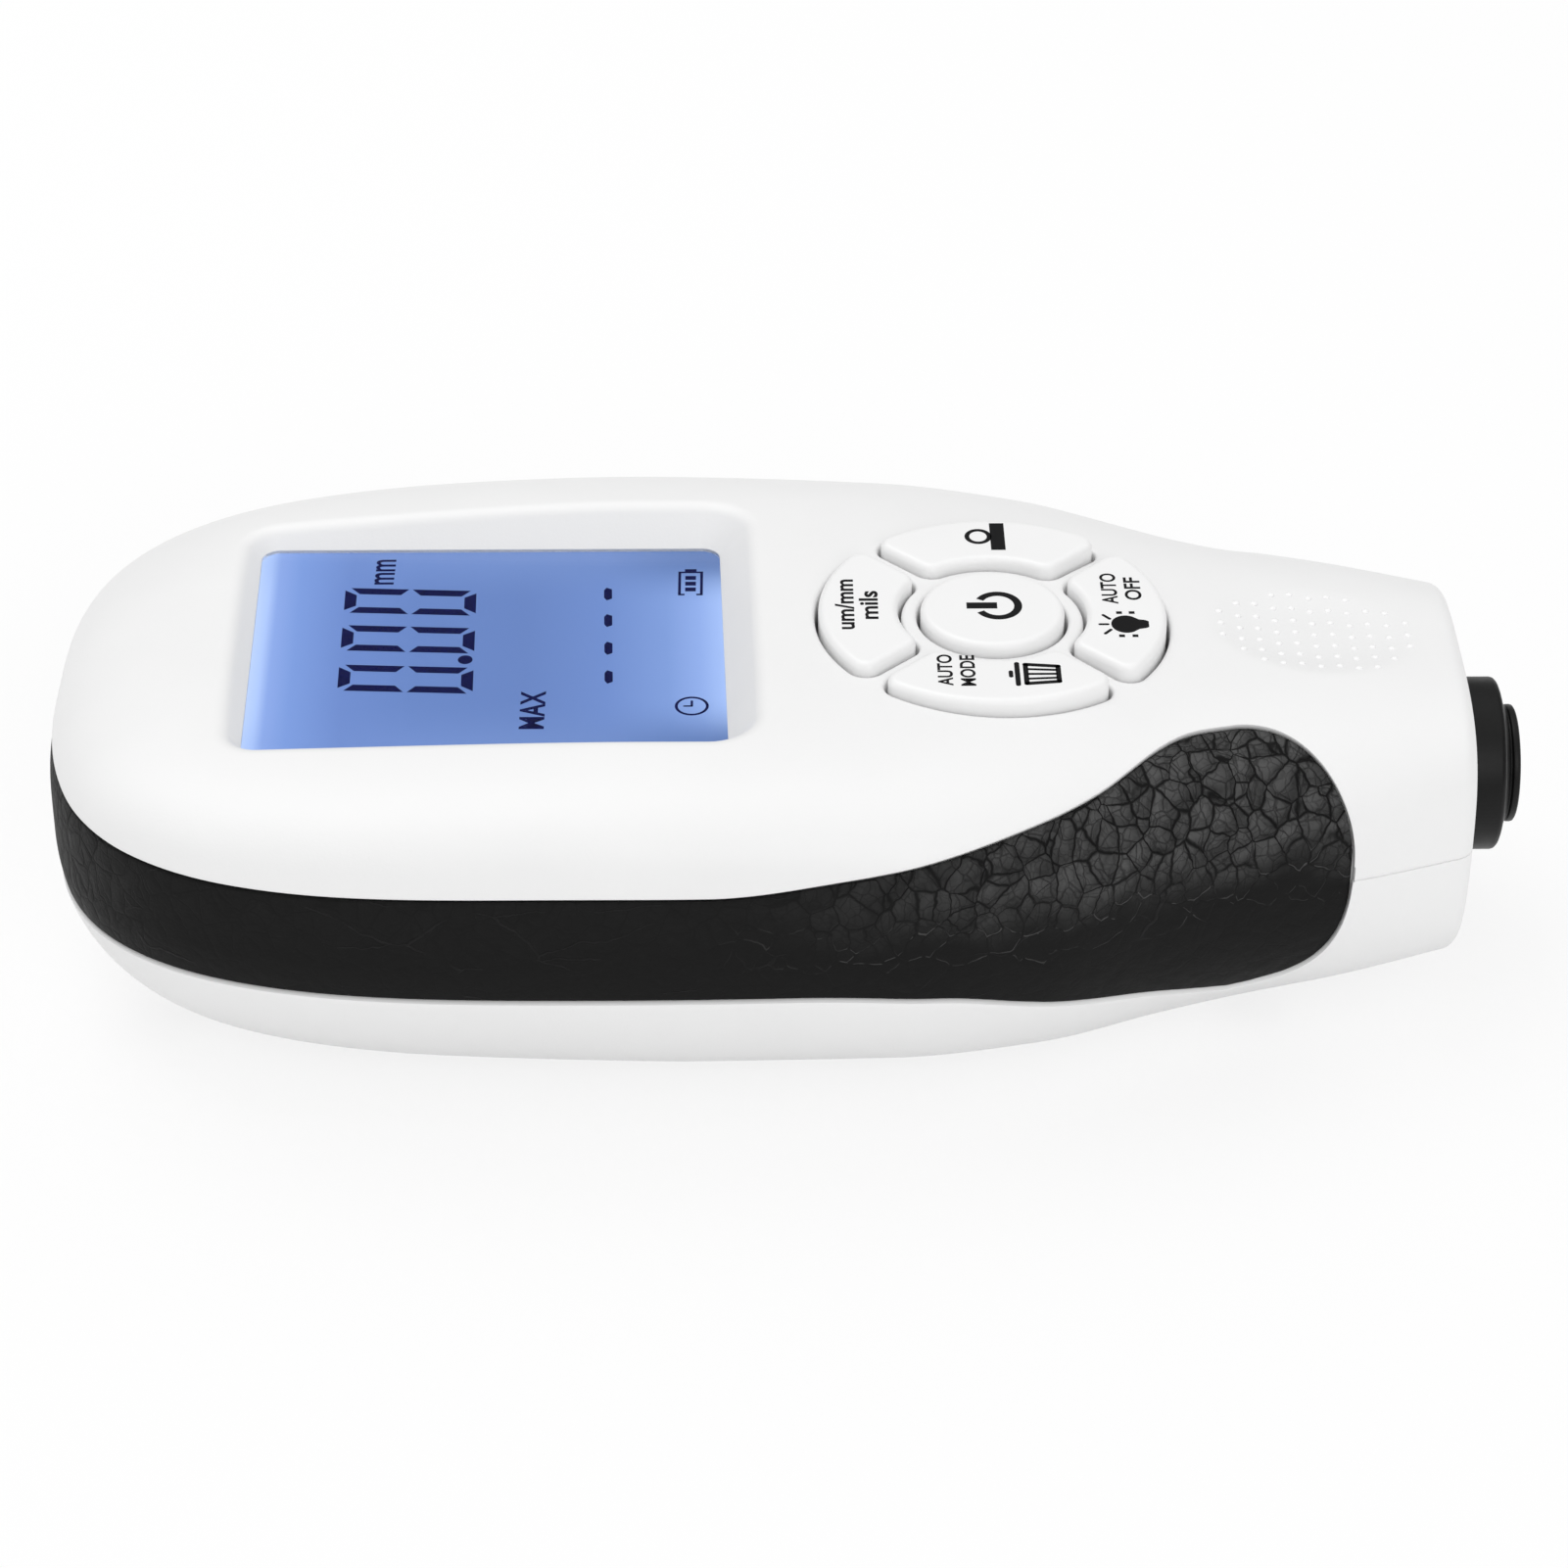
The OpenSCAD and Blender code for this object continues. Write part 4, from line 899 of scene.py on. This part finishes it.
light_mark += [stroke(87.5, BULB_Y, 88.15, BULB_Y, 0.28), stroke(87.85, BULB_Y + 1.45, 88.35, BULB_Y + 0.85, 0.28),
               stroke(87.85, BULB_Y - 1.45, 88.35, BULB_Y - 0.85, 0.28)]
printed("light_mark", light_mark, key_tops["light_key"] + INK_UP, "light_button", legend_ink)
BIN_Y = -10.4
bin_mark = [stroke(x, BIN_Y - half, x, BIN_Y + half, wide) for x, half, wide in (
    (80.25, 1.6, 0.42), (79.72, 0.35, 0.36), (80.95, 1.45, 0.42), (83.6, 1.15, 0.42))]
bin_mark += [stroke(80.95, BIN_Y + side * 1.45, 83.6, BIN_Y + side * 1.15, 0.46) for side in (-1, 1)]
bin_mark += [stroke(81.2, BIN_Y + y, 83.4, BIN_Y + 0.82 * y, 0.3) for y in (-0.72, 0, 0.72)]
bin_mark += [words("AUTO", 73.75, 75.0, -12.1, -7.4, 0.045), words("MODE", 75.6, 76.85, -12.15, -7.5, 0.045)]
printed("bin_mark", bin_mark, key_tops["delete_key"] + INK_UP, "delete_button", legend_ink)

# Display. A clear acrylic pane over a lit liquid crystal cell that fills the opening, with dark
# blue segments and signs on the cell.
CELL_LOW, CELL_TOP, PANE_LOW, PANE_TOP, PLATE_EDGE = 24.05, 26.95, 26.99, 27.25, 0.04


def plate(name, line, grow, low, high):
    """A flat plate with the outline of an opening."""
    obj = looped(name, ring_rows(line, [grow, grow, grow - PLATE_EDGE], [low, high - PLATE_EDGE, high]))
    edit(obj, merge, fill_rim(low), fill_rim(high), face_out)
    smooth(obj, 40)
    return obj


pane = plate("clear_pane", view_line, VIEW_CORNER - 0.02, PANE_LOW, PANE_TOP)
clear = Finish("pane_clear", Transmission_Weight=1.0, IOR=1.12, Base_Color=(1, 1, 1, 1))
smear = clear.place.noise(260, 3)
paint(pane, clear.feed(Roughness=smear * 0.02 + 0.005))
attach(pane, "housing")
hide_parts("display_window")

cell_piece = plate("display_cell", view_line, VIEW_CORNER - 0.03, CELL_LOW, CELL_TOP)
lit = Finish("display_blue", Specular_IOR_Level=0.1, Emission_Strength=1.0, Roughness=0.5,
             Base_Color=(0.01, 0.015, 0.04, 1))
run, across = lit.place.part(0), lit.place.part(1)
start, end = (VIEW_X - VIEW_LONG / 2 + ROW_X) * 0.001, (VIEW_X + VIEW_LONG / 2 + ROW_X) * 0.001
share = run.node("MapRange", {}, {0: run + across * VIEW_LEAN, 1: start, 2: end, 3: 0.0, 4: 1.0})
# The cell glows with its own backlight; the runs of colour along it are brighter towards its ends, a painted reflection
# of the room in the pane.
middle = share.ramp((0.0, 190, 213, 255), (0.022, 176, 203, 253), (0.042, 140, 170, 233), (0.09, 122, 155, 221),
                    (0.2, 106, 137, 202), (0.35, 100, 131, 193), (0.58, 99, 129, 190), (0.75, 108, 139, 202),
                    (0.88, 125, 156, 217), (0.95, 144, 174, 234), (1.0, 166, 195, 249))
border = share.ramp((0.0, 182, 207, 253), (0.022, 168, 196, 248), (0.042, 138, 168, 231), (0.09, 122, 155, 221),
                    (0.2, 109, 140, 204), (0.55, 109, 139, 199), (0.75, 108, 138, 198), (0.9, 96, 126, 183),
                    (1.0, 92, 121, 176))
off_centre = (across - VIEW_Y * 0.001) * (across - VIEW_Y * 0.001)
paint(cell_piece, lit.feed(Emission_Color=off_centre.eased(0.000045, 0.00021).mixed(middle, border)))
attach(cell_piece, "housing")
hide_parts("display_glass")

navy = Finish("segment_navy", Specular_IOR_Level=0.0, Emission_Strength=0.6)
tint = navy.place.noise(200, 2)
segment_navy = navy.feed(Base_Color=tint.mixed(rgb(5, 8, 46), rgb(8, 12, 56)), Roughness=tint * 0.1 + 0.5,
                         Emission_Color=tint.mixed(rgb(4, 8, 56), rgb(6, 12, 66)))
DIGIT_TOP, DIGIT_LONG, DIGIT_HALF, DIGIT_LEAN = 24.2, 11.2, 2.0, 0.054
end_bar = [(0, 0.4), (0, 3.6), (1.0, 2.86), (1.0, 1.14)]
side_bar = [(0.5, 0), (5.45, 0), (4.75, 0.95), (1.25, 0.95)]
marks = []
for y in (-3.92, 2.32, 8.35):
    for shape, flips in ((end_bar, ((0, 0), (1, 0))), (side_bar, ((0, 0), (0, 1), (1, 0), (1, 1)))):
        for turn_x, turn_y in flips:
            pts = []
            for px, py in shape:
                px = DIGIT_LONG - px if turn_x else px
                py = 2 * DIGIT_HALF - py if turn_y else py
                py += y - DIGIT_HALF + (DIGIT_LONG / 2 - px) * DIGIT_LEAN
                pts.append((DIGIT_TOP + px - VIEW_LEAN * (py - 2.3), py))
            marks.append(flat_shape(pts))
point = [(34.76 + 0.62 * math.cos(a), -0.95 + 0.68 * math.sin(a)) for a in np.linspace(0, 2 * np.pi, 20, False)]
marks.append(flat_shape(point))
marks += [words("mm", 26.35, 28.03, 11.2, 15.3, 0.03), words("MAX", 39.61, 41.68, -11.6, -5.88, 0.04)]
for y in (9.47, 5.16, 0.75, -3.73):
    dash = ((46.27, -0.6), (46.27, 0.6), (46.5, 1.03), (46.95, 0.75), (46.95, -0.75), (46.5, -1.03))
    marks.append(flat_shape([(x - VIEW_LEAN * (y + dy - 2.9), y + dy) for x, dy in dash]))
CLOCK_X, CLOCK_Y = 53.72, -8.25
marks += [hoop(CLOCK_X, CLOCK_Y, 1.4, 1.42, 0.24), stroke(CLOCK_X, CLOCK_Y, CLOCK_X - 0.62, CLOCK_Y, 0.2),
          stroke(CLOCK_X, CLOCK_Y, CLOCK_X, CLOCK_Y + 0.75, 0.2)]
BATTERY_X, BATTERY_Y = 53.46, 11.15
for x0, y0, x1, y1 in ((-1.06, -1.95, -0.82, 1.95), (0.82, -1.95, 1.06, 1.95), (-1.06, -1.95, -0.5, -1.7),
                       (0.5, -1.95, 1.06, -1.7), (-1.06, 1.7, 1.06, 1.95), (-0.5, 1.95, 0.5, 2.35),
                       (-0.46, -1.3, 0.46, -0.68), (-0.46, -0.35, 0.46, 0.27), (-0.46, 0.6, 0.46, 1.22)):
    marks.append(bar(BATTERY_X + x0, BATTERY_Y + y0, BATTERY_X + x1, BATTERY_Y + y1))
printed("display_marks", marks, CELL_TOP + 0.005, "housing", segment_navy)

# Probe. A black stepped collar with a lip, turned from engineering plastic, round a steel pole.
# It slides in a guide in the nose, and its half section is given as radius and place along the case.
collar = [(4.6, 110.0), (7.35, 110.0), (7.35, 121.3), (7.28, 121.55), (7.1, 121.72), (6.9, 121.8), (6.4, 121.9),
          (5.9, 122.08), (5.45, 122.25), (5.1, 122.4), (4.85, 122.46), (4.8, 122.55), (4.85, 122.62), (5.0, 122.72),
          (5.0, 123.05), (4.95, 123.2), (4.8, 123.3), (3.4, 123.3), (3.15, 123.15), (2.9, 122.7), (2.12, 122.6),
          (2.12, 119.2), (4.6, 119.2)]


def turned(name, profile, steps=128):
    """A round piece on the probe's axis, spun from its half section."""
    a = np.linspace(0, 2 * np.pi, steps + 1)
    rows = [np.stack([np.full(len(a), x), r * np.cos(a), PROBE_Z + r * np.sin(a)], -1)
            for r, x in profile + profile[:1]]
    obj = laid_sheet(name, np.stack(rows))
    edit(obj, merge, face_out)
    return obj


black = Finish("plastic_black", Specular_IOR_Level=0.2)
lathe = black.place.node("TexWave", {"wave_type": "RINGS", "rings_direction": "X"},
                         {"Vector": black.place, "Scale": 900.0, "Distortion": 2.0, "Detail": 2.0})
scuff = black.place.noise(700, 4, 0.65)
probe_black = black.feed(Base_Color=scuff.mixed(rgb(8, 8, 8), rgb(20, 20, 20)), Roughness=scuff * 0.25 + 0.3,
                         Normal=(lathe * 0.3 + scuff * 0.7).bump(0.12, 0.00005))
probe_collar = turned("probe_collar", collar)
modify(probe_collar, "BEVEL", width=0.00006, segments=2, limit_method="ANGLE", angle_limit=math.radians(50))
smooth(probe_collar, 35)
paint(probe_collar, probe_black)
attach(probe_collar, "probe")
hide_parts("probe_sleeve")

# Inside pieces and small metal parts: plated steel contacts and screws, a varnished board, rubber,
# a copper coil and the two wrapped cells. They are right as solids, so they only get their finishes.
def plain(name, low, high, rough, scale, grain=0.1, **uniform):
    """A finish with mottled colour and gloss and a fine surface."""
    made = Finish(name, **uniform)
    mottle = made.place.noise(scale, 4, 0.6)
    return made.feed(Base_Color=mottle.mixed(low, high), Roughness=mottle * 0.2 + rough,
                     Normal=made.place.noise(scale * 6, 2).bump(grain, 0.00005))


steel = plain("steel", rgb(150, 150, 152), rgb(190, 190, 192), 0.22, 500, Metallic=1.0)
copper = plain("copper_wire", rgb(160, 84, 40), rgb(205, 120, 62), 0.3, 2500, 0.5, Metallic=1.0)
board = plain("board_green", rgb(10, 66, 30), rgb(20, 96, 44), 0.3, 300, Coat_Weight=0.4)
dark_rubber = plain("rubber_dark", rgb(30, 30, 30), rgb(46, 46, 46), 0.7, 400, 0.3)
grey_rubber = plain("rubber_grey", rgb(140, 140, 142), rgb(160, 160, 162), 0.65, 400, 0.3)
guide_white = plain("light_guide", rgb(225, 230, 236), rgb(240, 243, 246), 0.35, 300)
cell_film = plain("cell_wrap", rgb(26, 32, 48), rgb(40, 48, 66), 0.25, 200, Coat_Weight=0.3)
for node, material in {
        "case_screws": steel, "board_screws": steel, "battery_springs": steel, "battery_plates": steel,
        "probe_pole": steel, "probe_clip": steel, "probe_coil": copper, "main_board": board,
        "display_strips": dark_rubber, "key_membrane": grey_rubber, "display_backlight": guide_white,
        "battery_a": cell_film, "battery_b": cell_film, "key_switches": probe_black, "processor_chip": probe_black,
        "buzzer": probe_black, "probe_guide": probe_black}.items():
    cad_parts[node].data.materials.clear()
    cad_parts[node].data.materials.append(material)

# Probe spring. A steel wire wound in four turns, which stands on the fixed guide and pushes the probe out.
# The real spring gets shorter as the probe goes in; this one is a copy of the solid, with a mesh of its own.
alone(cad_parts["probe_spring"])
bpy.ops.object.duplicate()
spring = bpy.context.object
spring.name = "return_spring"
edit(spring, merge)
smooth(spring, 50)
paint(spring, steel)
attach(spring, "housing")
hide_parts("probe_spring")
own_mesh(spring)

# Table, light and camera. A pale table in a white room under two soft lamps, seen from the front
# at the photograph's angle. Table and room look whiter than the light they give.
def light_path(tree):
    """Two wires: one for rays that are seen, also in a mirror or through glass, and one for mirrored rays."""
    path = tree.nodes.new("ShaderNodeLightPath")
    camera_ray, glossy, through = (
        Wire(tree, path.outputs[f"Is {kind} Ray"]) for kind in ("Camera", "Glossy", "Transmission"))
    return (camera_ray + glossy + through).above(0.5), glossy


floor = fresh(bpy.ops.mesh.primitive_plane_add, size=6, location=(0, 0, -0.0002))
floor.name = "table"
white = bpy.data.materials.new("table_white")
white.use_nodes = True
tree = white.node_tree
tree.nodes.remove(tree.nodes["Principled BSDF"])
seen, _ = light_path(tree)
lit = seen.node("BsdfDiffuse", {}, {"Color": (0.9, 0.9, 0.9, 1)})
glow = seen.node("Emission", {}, {"Color": (1, 1, 1, 1), "Strength": 1.0})
shown = seen.node("MixShader", {}, {0: seen * 0.8, 1: lit, 2: glow})
tree.links.new(shown.socket, tree.nodes["Material Output"].inputs["Surface"])
paint(floor, white)

ROOM_LIGHT = 0.735
world = bpy.context.scene.world or bpy.data.worlds.new("studio")
bpy.context.scene.world = world
world.use_nodes = True
tree = world.node_tree
seen, glossy = light_path(tree)
toward = Wire(tree, tree.nodes.new("ShaderNodeTexCoord").outputs["Generated"])
mirrored = glossy * toward.part(2).eased(0.45, 0.9, 0.7, 0.0)
tree.links.new((seen * (1 - ROOM_LIGHT) + ROOM_LIGHT - mirrored).socket, tree.nodes["Background"].inputs["Strength"])
tree.nodes["Background"].inputs["Color"].default_value = (1, 1, 1, 1)


def soft_lamp(name, place, aim, size, power):
    lamp = fresh(bpy.ops.object.light_add, type="AREA", location=place)
    lamp.name = name
    lamp.data.size = size
    lamp.data.energy = power
    lamp.rotation_euler = (Vector(aim) - Vector(place)).to_track_quat("-Z", "Y").to_euler()


soft_lamp("key_lamp", (-0.25, 0.25, 0.8), (0, 0, 0.02), 0.6, 2.4)
soft_lamp("front_lamp", (0.3, -0.8, 0.5), (0, 0, 0.02), 0.5, 2.2)

ELEVATION, YAW, DISTANCE = math.radians(33.744), math.radians(-0.506), 0.41431
TARGET = Vector((-0.000252, 0.020613, 0.0))
away = Vector((math.sin(YAW) * math.cos(ELEVATION), -math.cos(YAW) * math.cos(ELEVATION), math.sin(ELEVATION)))
camera = fresh(bpy.ops.object.camera_add, location=TARGET + away * DISTANCE)
camera.rotation_euler = away.to_track_quat("Z", "Y").to_euler()
camera.data.sensor_width = 36
camera.data.lens = 4664.8 / 1601 * 36
camera.data.clip_start = 0.01
bpy.context.scene.camera = camera
bpy.context.scene.view_settings.view_transform = "Standard"
